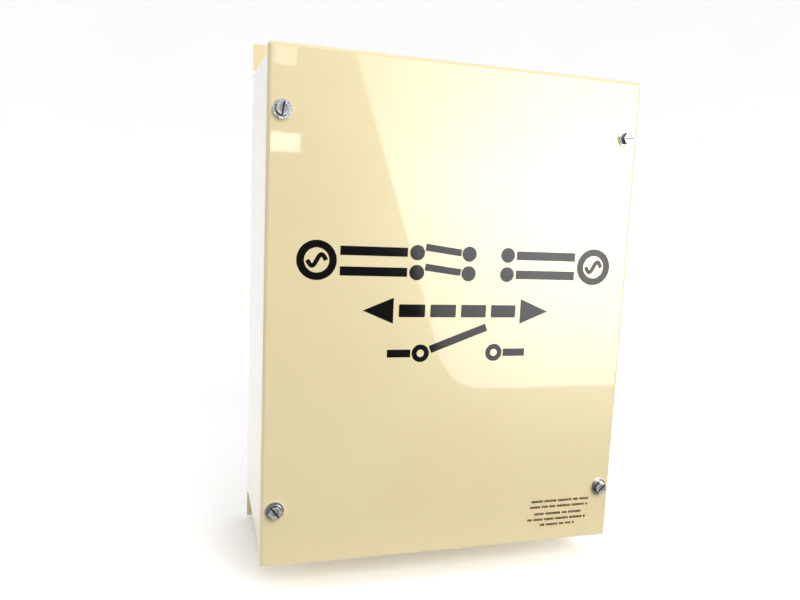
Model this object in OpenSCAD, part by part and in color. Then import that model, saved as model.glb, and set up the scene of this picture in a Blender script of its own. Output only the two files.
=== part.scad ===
// Automatic transfer switch: a wall-mounted sheet-metal box with a lift-off
// cover, and the two-pole transfer mechanism and its controls inside.
// X runs to the right, Z runs up, the wall is the plane y = 0 and the front
// faces -Y. The origin is the centre of the four wall holes.

/* [Enclosure] */
// Width of the cover
cover_w = 310; // [310:1:330]
// Height of the cover
cover_h = 406; // [406:1:440]
// Distance from the wall to the cover's front face
box_d = 172; // [172:1:190]
// Thickness of the sheet steel
sheet = 1.5; // [1.2:0.1:1.8]
// How far the back plate stands above and below the cover
mount_flange = 24.5; // [22:0.5:30]
// Distance between the two columns of wall holes
wall_hole_pitch = 203.2; // [180:0.2:220]
// Depth of the cover's bent rim
rim_d = 12; // [9:1:15]
// Outside radius of the cover's bends
bend_r = 3; // [2.5:0.1:4]
// Width of the front lips that the cover lies on
lip_w = 16; // [14:1:17]

/* [Cover screws] */
// Distance from a cover screw to the cover's side edge
screw_edge_x = 11; // [10.5:0.5:12]
// Distance from a cover screw to the cover's top or bottom edge
screw_edge_z = 48; // [40:1:60]
// Outer radius of the thread
thread_r = 3; // [2.5:0.1:3.1]
// Distance across the flats of the screw head
head_af = 9.5; // [8:0.5:11]
// Outer radius of the flat washers
washer_r = 7.3; // [6.5:0.1:8]

/* [Transfer mechanism] */
// Distance between the two poles
pole_pitch = 42; // [42:1:44]
// Swing of the contact arms to each side of the middle, in degrees
swing = 25; // [22:1:25]
// Distance from the wall to the shaft
shaft_depth = 75; // [74:0.5:76]
// Radius of the shaft
shaft_r = 4; // [3.5:0.1:4]
// Length of a contact arm from the shaft's centre
arm_len = 46; // [44:1:46]
// Distance from the shaft to the crank pin
crank_len = 22; // [21:0.5:22]
// Distance from the shaft to the pivot of the over-centre spring
spring_pivot_len = 60; // [59:1:61]
// Radius of a lug's wire hole
lug_bore_r = 5; // [4:0.5:5.5]

/* [Solenoids] */
// Outer radius of a winding
coil_r = 14.5; // [13:0.5:14.5]
// Height of a coil between its frame plates
coil_h = 52; // [50:1:54]
// Radius of the plungers
plunger_r = 6; // [5:0.1:6]

/* [Controls] */
// Number of fuses
fuse_count = 3; // [1:1:3]
// Number of positions on the terminal strip
strip_positions = 5; // [3:1:5]
// Radius of the control wires
wire_r = 1.3; // [1:0.1:1.4]
// Swing of a limit switch lever, in degrees
lever_swing = 8; // [6:1:8]
// Swing of the relay armature, in degrees
armature_swing = 4; // [3:1:5]

/* [Hidden] */
$fn = 48;

// Running clearance round a pin or shaft
run_gap = 0.06;
// Gap between the cover and the box it lies on
cover_gap = 0.4;
lip_gap = 0.6;
box_w = cover_w - 2 * (sheet + cover_gap);
box_h = cover_h - 2 * (sheet + cover_gap);
plate_h = cover_h + 2 * mount_flange;
wall_hole_z = cover_h / 2 + mount_flange / 2;
wall_hole_r = 3.6;
front_y = -box_d;
lip_y = front_y + sheet + lip_gap;
screw_x = cover_w / 2 - screw_edge_x;
screw_z = cover_h / 2 - screw_edge_z;
screw_places = [[-screw_x, screw_z], [screw_x, screw_z], [-screw_x, -screw_z], [screw_x, -screw_z]];
screw_turned = [98, 0, 52, 135];
washer_t = 1.4;
thread_pitch = 1.27;
thread_turns = 14;
thread_depth = 0.5;
weld_nut_t = 5;
knockout_r = 17.5;
knockout_x = 70;
knockout_y = -100;
// Mechanism frame: a channel with its back plate at frame_y and two ears
frame_y = -21;
frame_t = 2;
ear_left = -66.5;
ear_right = 22.5;
ear_t = 2;
shaft_y = -shaft_depth;
pole_x = [-pole_pitch, 0];
sides = [1, -1];
// Contact geometry in the arm's own plane
arm_half = 2.5;
tip_t = 1.5;
tip_gap = 0.3;
tip_r = 4;
tip_pos = arm_len - tip_r - 0.5;
strap_t = 2.5;
strap_y = -97;
block_z0 = 22;
block_z1 = 90;
block_front = strap_y + strap_t;
lug_size = [20, 22, 28];
lug_z0 = 58;
// Crank, yoke and solenoids
pin_r = 3;
crank_x = 28;
crank_t = 3.5;
pin_end = 51;
lever_x = 72;
yoke_x0 = 38;
yoke_x1 = 52;
yoke_half = 12;
slot_gap = 0.3;
pin_rise = crank_len * sin(swing);
solenoid_x = 43;
solenoid_y = shaft_y - crank_len * (1 + cos(swing)) / 2;
coil_z0 = 28;
coil_z1 = coil_z0 + coil_h;
plunger_len = 42;
// Over-centre spring
pivot_y = shaft_y - spring_pivot_len;
spring_rise = atan2(pin_rise, spring_pivot_len - crank_len * cos(swing));
guide_x0 = 32.5;
guide_x1 = 36.5;
pivot_pin_r = 2;
spring_turns = 6;
spring_r = 3.9;
spring_wire_r = 0.6;
// Controls
control_y = -21;
strip_pitch = 10;
fuse_pitch = 15;
handle_z = 152;
handle_y = -40;
handle_r = 5;

// ---- shared shapes ----

// Box between two opposite corners
module slab(lo, hi)
  translate(lo) cube([for (i = [0:2]) hi[i] - lo[i]]);

module rod_x(x0, x1, y, z, r)
  translate([x0, y, z]) rotate([0, 90, 0]) cylinder(r = r, h = x1 - x0);

module rod_y(y0, y1, x, z, r)
  translate([x, y0, z]) rotate([-90, 0, 0]) cylinder(r = r, h = y1 - y0);

module rod_z(z0, z1, x, y, r)
  translate([x, y, z0]) cylinder(r = r, h = z1 - z0);

// A flat outline of (y, z) points, thick along X from x0 to x1
module side_profile(x0, x1)
  translate([x0, 0, 0]) rotate([90, 0, 90]) linear_extrude(x1 - x0) children();

// A flat outline of (x, z) points, thick along Y from y0 to y1
module front_profile(y0, y1)
  translate([0, y1, 0]) rotate([90, 0, 0]) linear_extrude(y1 - y0) children();

module rounded_rect(w, h, r) {
  square([w - 2 * r, h], center = true);
  square([w, h - 2 * r], center = true);
  for (sx = sides, sz = sides)
    translate([sx * (w / 2 - r), sz * (h / 2 - r)]) circle(r);
}

module hexagon(af) circle(r = af / 2 / cos(30), $fn = 6);

// The same thing above and below the shaft
module both_sides() {
  children();
  mirror([0, 0, 1]) children();
}

// Frame of an arm on the shaft: -Y along the arm, turned up by an angle
module on_shaft(up) translate([0, shaft_y, 0]) rotate([-up, 0, 0]) children();

// Pan head screw whose head stands on the plane y, towards -Y
module pan_screw(x, y, z, r, depth) {
  rod_y(y, y + depth, x, z, r);
  difference() {
    translate([x, y, z]) rotate([90, 0, 0]) cylinder(r1 = 2.1 * r, r2 = 1.7 * r, h = 1.3 * r);
    translate([x, y - 1.3 * r, z]) cube([3 * r, 1.2 * r, 0.5 * r], center = true);
  }
}

// Hexagon head screw whose head stands on the plane y, towards -Y
module hex_screw(x, y, z, af, head, r, depth) {
  if (depth > 0) rod_y(y, y + depth, x, z, r);
  translate([x, y, z]) rotate([90, 0, 0]) linear_extrude(head) hexagon(af);
}

// ---- enclosure ----

module back_plate() color("wheat") {
  relief = 3;
  difference() {
    slab([-box_w / 2, -sheet, -plate_h / 2], [box_w / 2, 0, plate_h / 2]);
    for (sx = sides, sz = sides) {
      rod_y(-2 * sheet, sheet, sx * wall_hole_pitch / 2, sz * wall_hole_z, wall_hole_r);
      translate([sx * box_w / 2, 0, sz * (box_h / 2 + relief / 2)])
        cube([2 * relief, 4 * sheet, relief], center = true);
    }
  }
}

module enclosure_wrap() color("wheat") {
  inner_r = 1.2;
  rear_lip = 8;
  difference() {
    front_profile(lip_y, -sheet) rounded_rect(box_w, box_h, inner_r + sheet);
    front_profile(lip_y + sheet, -2 * sheet)
      rounded_rect(box_w - 2 * sheet, box_h - 2 * sheet, inner_r);
    front_profile(lip_y - 1, lip_y + 2 * sheet)
      rounded_rect(box_w - 2 * lip_w, box_h - 2 * lip_w, 2);
    front_profile(-3 * sheet, 0) rounded_rect(box_w - 2 * rear_lip, box_h - 2 * rear_lip, 2);
    for (p = screw_places) rod_y(lip_y - 1, lip_y + 3, p[0], p[1], thread_r + 1);
    for (sx = sides, sz = sides)
      rod_z(sz * box_h / 2 - 3, sz * box_h / 2 + 3, sx * knockout_x, knockout_y, knockout_r);
  }
}

module knockout_slugs() color("wheat") {
  slit = 0.4;
  tie_w = 3;
  for (sx = sides, sz = sides)
    translate([sx * knockout_x, knockout_y, sz * (box_h - sheet) / 2 - sheet / 2]) {
      difference() {
        cylinder(r = knockout_r - slit, h = sheet);
        translate([0, 0, -1]) difference() {
          cylinder(r = knockout_r - 4, h = sheet + 2);
          cylinder(r = knockout_r - 4 - slit, h = sheet + 2);
          cube([2 * knockout_r, tie_w, 3 * sheet + 2], center = true);
        }
      }
      for (s = sides)
        translate([s * (knockout_r - slit), 0, sheet / 2])
          cube([slit * 1.2, tie_w, sheet], center = true);
    }
}

module cover_weld_nuts() color("silver")
  for (p = screw_places)
    difference() {
      translate([p[0], lip_y + sheet + weld_nut_t, p[1]])
        rotate([90, 0, 0]) linear_extrude(weld_nut_t) hexagon(11);
      rod_y(lip_y, lip_y + 10, p[0], p[1], thread_r + run_gap);
    }

// One edge of the cover: a quarter-round bend and the rim below it, along Z
module cover_edge(half_len) {
  open_corner = 0.6;
  difference() {
    rod_z(-half_len, half_len, 0, 0, bend_r);
    rod_z(-half_len - 1, half_len + 1, 0, 0, bend_r - sheet);
    slab([-2 * bend_r, -2 * bend_r, -half_len - 1], [0, 2 * bend_r, half_len + 1]);
    slab([-1, 0, -half_len - 1], [2 * bend_r, 2 * bend_r, half_len + 1]);
  }
  slab([bend_r - sheet, 0, open_corner - half_len],
       [bend_r, rim_d - bend_r, half_len - open_corner]);
}

module cover() color("wheat") {
  bend_y = front_y + bend_r;
  flat_w = cover_w / 2 - bend_r;
  flat_h = cover_h / 2 - bend_r;
  difference() {
    slab([-flat_w, front_y, -flat_h], [flat_w, front_y + sheet, flat_h]);
    for (p = screw_places) rod_y(front_y - 1, front_y + 3, p[0], p[1], thread_r + 0.6);
  }
  for (s = sides) {
    translate([s * flat_w, bend_y, 0]) mirror([s > 0 ? 0 : 1, 0, 0]) cover_edge(flat_h);
    translate([0, bend_y, s * flat_h])
      rotate([0, s > 0 ? -90 : 90, 0]) cover_edge(flat_w);
  }
  for (sx = sides, sz = sides)
    translate([sx * flat_w, bend_y, sz * flat_h])
      mirror([sx > 0 ? 0 : 1, 0, 0]) mirror([0, 0, sz > 0 ? 0 : 1]) difference() {
        sphere(bend_r);
        sphere(bend_r - sheet);
        translate([-2 * bend_r, -bend_r, -bend_r]) cube(2 * bend_r);
        translate([-bend_r, -bend_r, -2 * bend_r]) cube(2 * bend_r);
        translate([-bend_r, 0, -bend_r]) cube(2 * bend_r);
      }
}

module wiring_diagram() color("white")
  front_profile(front_y + sheet, front_y + sheet + 0.15)
    translate([0, 20]) rounded_rect(170, 210, 2);

module cover_washers() color("silver")
  for (p = screw_places)
    difference() {
      rod_y(front_y - washer_t, front_y, p[0], p[1], washer_r);
      rod_y(front_y - 3, front_y + 1, p[0], p[1], thread_r + 0.4);
    }

// Slotted hexagon washer-head screw with ring threads, driven along +Y and
// left at an angle by the screwdriver
module cover_screw(p, turned) color("silver") {
  slot_w = 1.4;
  slot_d = 1.3;
  flange_r = 5.7;
  flange_t = 1.3;
  head_h = 4.2;
  seat = front_y - washer_t;
  core_r = thread_r - thread_depth;
  thread_len = thread_turns * thread_pitch;
  translate([p[0], seat, p[1]]) rotate([-90, 0, 0]) rotate([0, 0, turned]) {
    rotate_extrude() polygon(concat(
      [[0, 0], [thread_r, 0]],
      [for (i = [0:thread_turns - 1], e = [0, 1])
        [e == 0 ? thread_r : core_r, (i + 0.35 + e * 0.5) * thread_pitch]],
      [[core_r, thread_len], [core_r - 0.8, thread_len + 1.6], [0, thread_len + 1.6]]
    ));
    translate([0, 0, -flange_t]) cylinder(r1 = flange_r - 0.3, r2 = flange_r, h = flange_t);
    difference() {
      intersection() {
        translate([0, 0, -flange_t - head_h]) linear_extrude(head_h) hexagon(head_af);
        translate([0, 0, -flange_t - head_h]) cylinder(r1 = 4.7, r2 = 4.7 + head_h, h = head_h);
      }
      translate([0, 0, -flange_t - head_h - 0.1]) cylinder(r1 = 3.4, r2 = 2.8, h = 0.6);
      translate([0, 0, -flange_t - head_h])
        cube([2 * head_af, slot_w, 2 * slot_d], center = true);
    }
  }
}

// ---- mechanism frame ----

standoff_places = [[-128, 88], [70, 88], [-128, -88], [70, -88]];
control_places = [[91, 110], [139, 110], [91, -110], [139, -110]];

module mechanism_standoffs() color("silver")
  for (p = concat(standoff_places, control_places))
    difference() {
      front_profile(frame_y + frame_t, -sheet) translate(p) hexagon(9);
      rod_y(frame_y, frame_y + 12, p[0], p[1], 2.1);
    }

module mechanism_screws() color("silver")
  for (p = concat(standoff_places, control_places))
    pan_screw(p[0], frame_y, p[1], 2, 9);

module mechanism_frame() color("gainsboro") {
  ear_reach = -118;
  difference() {
    union() {
      slab([-138, frame_y, -98], [80, frame_y + frame_t, 98]);
      for (x = [ear_left, ear_right])
        side_profile(x, x + ear_t) polygon([
          [frame_y, -92], [-98, -92], [ear_reach, -72], [ear_reach, -16], [-104, -10],
          [-104, 10], [ear_reach, 16], [ear_reach, 72], [-98, 92], [frame_y, 92]
        ]);
    }
    for (p = standoff_places) rod_y(frame_y - 1, frame_y + 5, p[0], p[1], 2.3);
    rod_x(ear_left - 1, ear_right + 5, shaft_y, 0, 6.02);
    slab([ear_left - 1, -54, -31], [ear_left + ear_t + 1, -34, 5]);
  }
}

module shaft_bushings() color("ivory")
  for (b = [[ear_left, -1], [ear_right + ear_t, 1]])
    difference() {
      union() {
        rod_x(min(b[0], b[0] + b[1] * 1.5), max(b[0], b[0] + b[1] * 1.5), shaft_y, 0, 8.5);
        rod_x(min(b[0], b[0] - b[1] * 3), max(b[0], b[0] - b[1] * 3), shaft_y, 0, 6);
      }
      rod_x(-80, 80, shaft_y, 0, shaft_r + run_gap);
    }

// ---- contacts and terminals ----

module contact_blocks() color("saddlebrown") both_sides() {
  barrier_front = -124;
  difference() {
    slab([ear_left + ear_t, block_front, block_z0], [ear_right, -66, block_z1]);
    for (x = pole_x) rod_y(block_front - 1, block_front + 16, x, 52, 2.6);
  }
  for (x = [ear_left + ear_t, -pole_pitch / 2 - 1.5, ear_right - 2.5])
    slab([x, barrier_front, 30], [x + 2.5, block_front, block_z1]);
}

// Outline of a strap: tilted contact end, then straight up behind the lug
module strap_outline() {
  low = arm_half + tip_t + tip_gap + tip_t;
  tilt = [cos(swing), sin(swing)];
  function at(along, off) = [
    shaft_y - along * cos(swing) + off * sin(swing), along * sin(swing) + off * cos(swing)
  ];
  bend = (shaft_y - strap_y + (low + strap_t) * sin(swing)) / cos(swing);
  polygon([
    at(arm_len + 2, low), at(arm_len + 2, low + strap_t), at(bend + 2, low + strap_t),
    [strap_y, 30], [strap_y, 88], [strap_y + strap_t, 88], [strap_y + strap_t, 21.5],
    at(bend - 2, low)
  ]);
}

module fixed_contact_straps() color("peru") both_sides()
  for (x = pole_x) difference() {
    side_profile(x - 8, x + 8) strap_outline();
    rod_y(strap_y - 1, strap_y + 5, x, 52, 2.7);
  }

module fixed_contact_tips() color("silver") both_sides()
  for (x = pole_x) on_shaft(swing)
    rod_z(arm_half + tip_t + tip_gap, arm_half + 2 * tip_t + tip_gap, x, -tip_pos, tip_r);

// A lug with a wire hole along Z and a set screw hole from the front
module lug(x, back_y, z0) {
  front = back_y - lug_size[1];
  bore_y = back_y - lug_size[1] / 2 - 1;
  difference() {
    slab([x - lug_size[0] / 2, front, z0], [x + lug_size[0] / 2, back_y, z0 + lug_size[2]]);
    rod_z(z0 - 1, z0 + lug_size[2] + 1, x, bore_y, lug_bore_r);
    rod_y(front - 1, bore_y, x, z0 + lug_size[2] / 2, 4.52);
  }
}

module pole_lugs() for (x = pole_x) {
  lug(x, strap_y, lug_z0);
  difference() {
    slab([x - 7, strap_y - 2.5, 46], [x + 7, strap_y, lug_z0]);
    rod_y(strap_y - 4, strap_y + 1, x, 52, 2.7);
  }
}

module utility_lugs() color("silver") pole_lugs();

module standby_lugs() color("silver") mirror([0, 0, 1]) pole_lugs();

load_x = [-90, -121];
load_y = [-48, -40];
load_z0 = -27;

module load_lugs() color("silver")
  for (i = [0, 1]) lug(load_x[i], load_y[i], load_z0);

// Socket set screw in a lug: face at the lug's front, hexagon socket
module set_screw(x, back_y, z0) {
  front = back_y - lug_size[1];
  z = z0 + lug_size[2] / 2;
  difference() {
    rod_y(front - 1.5, front + 5, x, z, 4.5);
    translate([x, front + 2, z]) rotate([90, 0, 0]) linear_extrude(5) hexagon(5);
  }
}

module lug_set_screws() color("dimgray") {
  both_sides() for (x = pole_x) set_screw(x, strap_y, lug_z0);
  for (i = [0, 1]) set_screw(load_x[i], load_y[i], load_z0);
}

module terminal_bolts() color("silver") both_sides()
  for (x = pole_x) hex_screw(x, strap_y - 2.5, 52, 8, 3.5, 2.5, 16);

module load_terminal_base() color("saddlebrown") {
  slab([-136, load_y[1] + 2.5, -30], [-74, frame_y, 4]);
  for (z = [-30, -4]) slab([-102, load_y[0] + 2.5, z], [-78, load_y[1] + 2.5, z + 8]);
  slab([-7, load_y[1] + 2.5, -19], [7, frame_y, -7]);
}

module load_straps() color("peru") {
  slab([-100, load_y[0], -20], [-36, load_y[0] + 2.5, -6]);
  slab([-100, load_y[0], -30], [-80, load_y[0] + 2.5, 4]);
  slab([-131, load_y[1], -20], [8, load_y[1] + 2.5, -6]);
  slab([-6, load_y[0], -20], [8, load_y[1], -6]);
  slab([-131, load_y[1], -28], [-111, load_y[1] + 2.5, 2]);
}

// Route of a braid's middle from under the arm, below the shaft, to its strap
braid_route = [
  [-98.8, 5.6], [-97.5, -2], [-94, -9], [-88, -14.5], [-80, -17], [-70, -17.5], [-60, -16],
  [-53, -13.5], [-49.6, -13]
];
braid_t = 2.4;

// Unit normal of a route of (y, z) points at point i
function route_normal(p, i) = let (
  a = p[max(i - 1, 0)], b = p[min(i + 1, len(p) - 1)], d = b - a
) [-d[1], d[0]] / norm(d);

module braids() color("sandybrown")
  for (x = pole_x) side_profile(x - 5, x + 5) polygon(concat(
    [for (i = [0:len(braid_route) - 1])
      braid_route[i] + route_normal(braid_route, i) * braid_t / 2],
    [for (i = [len(braid_route) - 1:-1:0])
      braid_route[i] - route_normal(braid_route, i) * braid_t / 2]
  ));

module arc_chute_walls() color("burlywood")
  for (x = pole_x, s = sides)
    side_profile(x + s * 12.75 - 0.75, x + s * 12.75 + 0.75) polygon([
      [-140, -46], [-116, -56], [block_front, -56], [block_front, -46], [-112, -46],
      [-112, 46], [block_front, 46], [block_front, 56], [-116, 56], [-140, 46]
    ]);

module arc_plates() color("gray")
  for (x = pole_x, i = [-4:4])
    translate([x, 0, 8 * i - 0.6]) linear_extrude(1.2) polygon([
      [-12, -139], [12, -139], [12, -123], [8, -123], [2.5, -131], [-2.5, -131], [-8, -123],
      [-12, -123]
    ]);

// ---- rotor ----

module rotor_shaft() color("silver") {
  rod_x(-72, 81, shaft_y, 0, shaft_r);
  difference() {
    rod_x(-70.2, -69.2, shaft_y, 0, 6.5);
    rod_x(-71, -69, shaft_y, 0, shaft_r);
  }
}

module contact_carrier() color("#2b2b2b") {
  difference() {
    union() {
      rod_x(ear_left + ear_t + 2, ear_right - 2, shaft_y, 0, 9);
      for (x = pole_x) on_shaft(swing) slab([x - 9, -20, -5.5], [x + 9, 0, 5.5]);
    }
    rod_x(-80, 80, shaft_y, 0, shaft_r + 0.02);
    for (x = pole_x) on_shaft(swing) slab([x - 6, -30, -arm_half], [x + 6, -9.5, arm_half]);
  }
}

module moving_contacts() color("peru")
  for (x = pole_x) on_shaft(swing) {
    slab([x - 6, 6 - arm_len, -arm_half], [x + 6, -9.5, arm_half]);
    intersection() {
      rod_z(-arm_half, arm_half, x, 6 - arm_len, 6);
      slab([x - 7, -arm_len - 1, -4], [x + 7, 6 - arm_len, 4]);
    }
  }

module moving_contact_tips() color("silver")
  for (x = pole_x, s = sides) on_shaft(swing)
    rod_z(min(s * arm_half, s * (arm_half + tip_t)), max(s * arm_half, s * (arm_half + tip_t)),
          x, -tip_pos, tip_r);

module crank() color("silver") {
  difference() {
    on_shaft(swing) {
      rod_x(crank_x, crank_x + crank_t, 0, 0, 9);
      slab([crank_x, -crank_len, -5], [crank_x + crank_t, 0, 5]);
      rod_x(crank_x, crank_x + crank_t, -crank_len, 0, 5);
    }
    rod_x(0, 80, shaft_y, 0, shaft_r + 0.02);
  }
  on_shaft(swing) rod_x(crank_x + crank_t, pin_end, -crank_len, 0, pin_r);
}

module operating_lever() color("firebrick")
  difference() {
    on_shaft(swing) {
      rod_x(lever_x, lever_x + 6, 0, 0, 9);
      slab([lever_x, -42, -5], [lever_x + 6, 0, 5]);
      rod_y(-64, -40, lever_x + 3, 0, 7);
    }
    rod_x(0, 90, shaft_y, 0, shaft_r + 0.02);
    on_shaft(swing) rod_y(-65, -46, lever_x + 3, 0, handle_r + 0.2);
  }

// ---- solenoids ----

module solenoid_frames() color("gainsboro") both_sides() difference() {
  union() {
    slab([24.5, -112, coil_z0 - 3], [27.5, -80, coil_z1 + 3]);
    slab([24.5, -112, coil_z0 - 3], [58.5, -80, coil_z0]);
    slab([24.5, -112, coil_z1], [58.5, -80, coil_z1 + 3]);
  }
  rod_z(coil_z0 - 5, coil_z0 + 1, solenoid_x, solenoid_y, plunger_r + 1.5);
  rod_z(coil_z1 - 1, coil_z1 + 5, solenoid_x, solenoid_y, 4.1);
}

module coil_bobbins() color("ivory") both_sides() difference() {
  union() {
    rod_z(coil_z0, coil_z0 + 1.5, solenoid_x, solenoid_y, coil_r + 1);
    rod_z(coil_z1 - 1.5, coil_z1, solenoid_x, solenoid_y, coil_r + 1);
    rod_z(coil_z0, coil_z1, solenoid_x, solenoid_y, 8);
  }
  rod_z(coil_z0 - 1, coil_z1 + 1, solenoid_x, solenoid_y, plunger_r + 0.3);
}

module winding() difference() {
  flange_gap = 1.55;
  rod_z(coil_z0 + flange_gap, coil_z1 - flange_gap, solenoid_x, solenoid_y, coil_r);
  rod_z(coil_z0, coil_z1, solenoid_x, solenoid_y, 8.05);
}

module utility_coil() color("darkgoldenrod") winding();

module standby_coil() color("darkgoldenrod") mirror([0, 0, 1]) winding();

module solenoid_cores() color("silver") both_sides() {
  stop_z = pin_rise + yoke_half + plunger_len + 1;
  rod_z(stop_z, coil_z1, solenoid_x, solenoid_y, plunger_r + 0.2);
  rod_z(coil_z1, coil_z1 + 3, solenoid_x, solenoid_y, 4);
  translate([solenoid_x, solenoid_y, coil_z1 + 3]) linear_extrude(4) hexagon(12);
}

module plunger_yoke() color("lightgray") {
  pin_y = solenoid_y;
  slot_half = crank_len * (1 - cos(swing)) / 2 + pin_r + 1;
  translate([0, 0, pin_rise]) {
    difference() {
      slab([yoke_x0, pin_y - 9, -yoke_half], [yoke_x1, pin_y + 9, yoke_half]);
      slab([yoke_x0 - 1, pin_y - slot_half, -pin_r - slot_gap],
           [yoke_x1 + 1, pin_y + slot_half, pin_r + slot_gap]);
    }
    slab([yoke_x1, pin_y - 2, -2.5], [66.5, pin_y + 2, 2.5]);
    for (s = sides)
      rod_z(min(s * yoke_half, s * (yoke_half + plunger_len)),
            max(s * yoke_half, s * (yoke_half + plunger_len)), solenoid_x, pin_y, plunger_r);
  }
}

// ---- over-centre spring ----

module spring_anchor() color("gainsboro") {
  web_y = -143;
  difference() {
    union() {
      slab([28, web_y, -25], [41, web_y + 2, 25]);
      for (x = [28, 39]) slab([x, web_y + 2, -6], [x + 2, pivot_y + 3.5, 6]);
    }
    rod_x(20, 50, pivot_y, 0, pivot_pin_r);
  }
  both_sides() slab([28, web_y, 23.4], [41, -105.5, 25]);
  rod_x(27, 42, pivot_y, 0, pivot_pin_r);
  for (x = [26.5, 41]) rod_x(x, x + 1.5, pivot_y, 0, 3.2);
}

// Frame of the guide: +Y from the fixed pivot to the crank pin at rest
module on_pivot() translate([0, pivot_y, 0]) rotate([spring_rise, 0, 0]) children();

module spring_guide() color("silver") on_pivot() difference() {
  mid_x = (guide_x0 + guide_x1) / 2;
  slot_start = spring_pivot_len - crank_len - pin_r - 0.6;
  union() {
    rod_x(guide_x0, guide_x1, 0, 0, 4.6);
    rod_y(4, 28, mid_x, 0, 2);
    rod_y(4.2, 5.4, mid_x, 0, 4.3);
    slab([guide_x0, 26, -6.5], [guide_x1, 46.5, 6.5]);
  }
  rod_x(20, 50, 0, 0, pivot_pin_r + run_gap);
  slab([20, slot_start, -pin_r - 0.6], [50, 60, pin_r + 0.6]);
}

// Points of a ring of a tube round p, in the plane across direction t
function ring(p, t, r, n) = let (
  u = cross(t, [0.32, 0.21, 0.92]), a = u / norm(u), w = cross(t, a), b = w / norm(w)
) [for (k = [0:n - 1]) p + r * (cos(360 * k / n) * a + sin(360 * k / n) * b)];

// A round tube swept along a list of points
module tube(path, r, n = 8) {
  last = len(path) - 1;
  points = [for (i = [0:last])
    each ring(path[i], path[min(i + 1, last)] - path[max(i - 1, 0)], r, n)];
  faces = concat(
    [[for (k = [0:n - 1]) k]],
    [for (i = [0:last - 1], k = [0:n - 1])
      [i * n + k, (i + 1) * n + k, (i + 1) * n + (k + 1) % n, i * n + (k + 1) % n]],
    [[for (k = [n - 1:-1:0]) last * n + k]]
  );
  polyhedron(points = points, faces = faces);
}

module spring() color("dimgray") on_pivot() {
  mid_x = (guide_x0 + guide_x1) / 2;
  y0 = 5.4 + spring_wire_r + 0.05;
  y1 = 26 - spring_wire_r - 0.05;
  steps = 14 * spring_turns;
  tube([for (i = [0:steps]) let (a = 360 * spring_turns * i / steps)
    [mid_x + spring_r * cos(a), y0 + (y1 - y0) * i / steps, spring_r * sin(a)]],
    spring_wire_r, 6);
}

// ---- limit switches ----

lever_y = -84.5;
lever_z = 13.2;

module switch_bracket() color("gainsboro") {
  difference() {
    slab([58.5, -112, -34], [60, -80, 34]);
    slab([58, solenoid_y - 5, -16], [61, solenoid_y + 5, 16]);
  }
  both_sides() slab([48, -112, 23.4], [58.5, -106, 25]);
}

module limit_switches() color("#2b2b2b") both_sides() {
  difference() {
    slab([60, -110, 16], [67.5, -84, 32]);
    for (y = [-105, -89]) rod_x(59, 69, y, 26, 1.4);
  }
  for (x = [60, 66.6]) slab([x, -86.5, 11.6], [x + 0.9, -82.6, 16]);
  slab([60, -84, 16], [67.5, -82.6, 19]);
  rod_x(60, 67.5, lever_y, lever_z, 0.8);
  rod_z(13.3, 16, 63.75, -92, 1.2);
  for (y = [-106, -98, -90]) slab([63.5, y, 32], [64, y + 4, 37]);
}

module switch_lever() {
  difference() {
    union() {
      rod_x(61.2, 66.3, lever_y, lever_z, 1.6);
      slab([61.2, -103, lever_z - 1.1], [66.3, lever_y, lever_z - 0.4]);
      rod_x(61.2, 66.3, -103, lever_z - 0.75, 0.35);
    }
    rod_x(59, 69, lever_y, lever_z, 0.8 + run_gap);
  }
}

module utility_switch_lever() color("silver") switch_lever();

module standby_switch_lever() color("silver")
  translate([0, lever_y, -lever_z]) rotate([-lever_swing, 0, 0]) translate([0, -lever_y, lever_z])
    mirror([0, 0, 1]) switch_lever();

// ---- controls ----

module control_plate() color("gainsboro") difference() {
  slab([84, control_y, -118], [146, control_y + frame_t, 118]);
  for (p = control_places) rod_y(control_y - 1, control_y + 5, p[0], p[1], 2.3);
}

relay_x = 115;
relay_z = 80;

module relay_socket() color("#2b2b2b") difference() {
  union() {
    slab([relay_x - 20, -36, relay_z - 24], [relay_x + 20, control_y, relay_z + 24]);
    slab([relay_x - 17, -42, relay_z - 16], [relay_x + 17, -36, relay_z + 16]);
  }
  for (i = [-1.5:1.5], s = sides)
    rod_y(-37, -30, relay_x + 9 * i, relay_z + s * 20, 2.4);
}

module relay_works() color("peru") {
  // Base moulding, magnet frame and wound coil with its core
  slab([relay_x - 15, -46, relay_z - 15], [relay_x + 15, -42, relay_z + 15]);
  slab([relay_x - 10, -48, relay_z - 12], [relay_x + 10, -46, relay_z + 13]);
  slab([relay_x - 10, -82, relay_z + 11.5], [relay_x + 10, -48, relay_z + 13]);
  rod_y(-80, -48, relay_x, relay_z, 9);
  rod_y(-81.2, -80, relay_x, relay_z, 4);
  for (s = sides) {
    slab([relay_x + s * 12.5 - 0.4, -78, relay_z - 12], [relay_x + s * 12.5 + 0.4, -46, relay_z - 6]);
    rod_x(relay_x + s * 12.5 - 1.6, relay_x + s * 12.5 + 1.6, -75, relay_z - 9, 1.8);
  }
}

module relay_armature() color("silver") {
  hinge = [relay_x, -83.1, relay_z + 12.5];
  translate(hinge) rotate([-armature_swing, 0, 0]) {
    rod_x(-9, 9, 0, 0, 0.8);
    slab([-9, -0.8, -19], [9, 0.8, 0]);
    slab([-14, -0.8, -20.5], [14, 0.8, -18]);
  }
}

module relay_cover() color([0.9, 0.95, 1, 0.4]) {
  wall = 1.2;
  difference() {
    front_profile(-94, -42.2) translate([relay_x, relay_z]) rounded_rect(37, 35, 2.5);
    front_profile(-94 + wall, -40) translate([relay_x, relay_z])
      rounded_rect(37 - 2 * wall, 35 - 2 * wall, 1.3);
  }
}

fuse_y = -42;
fuse_r = 3.2;
fuse_x = [for (i = [0:fuse_count - 1]) relay_x + (i - (fuse_count - 1) / 2) * fuse_pitch];

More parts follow.
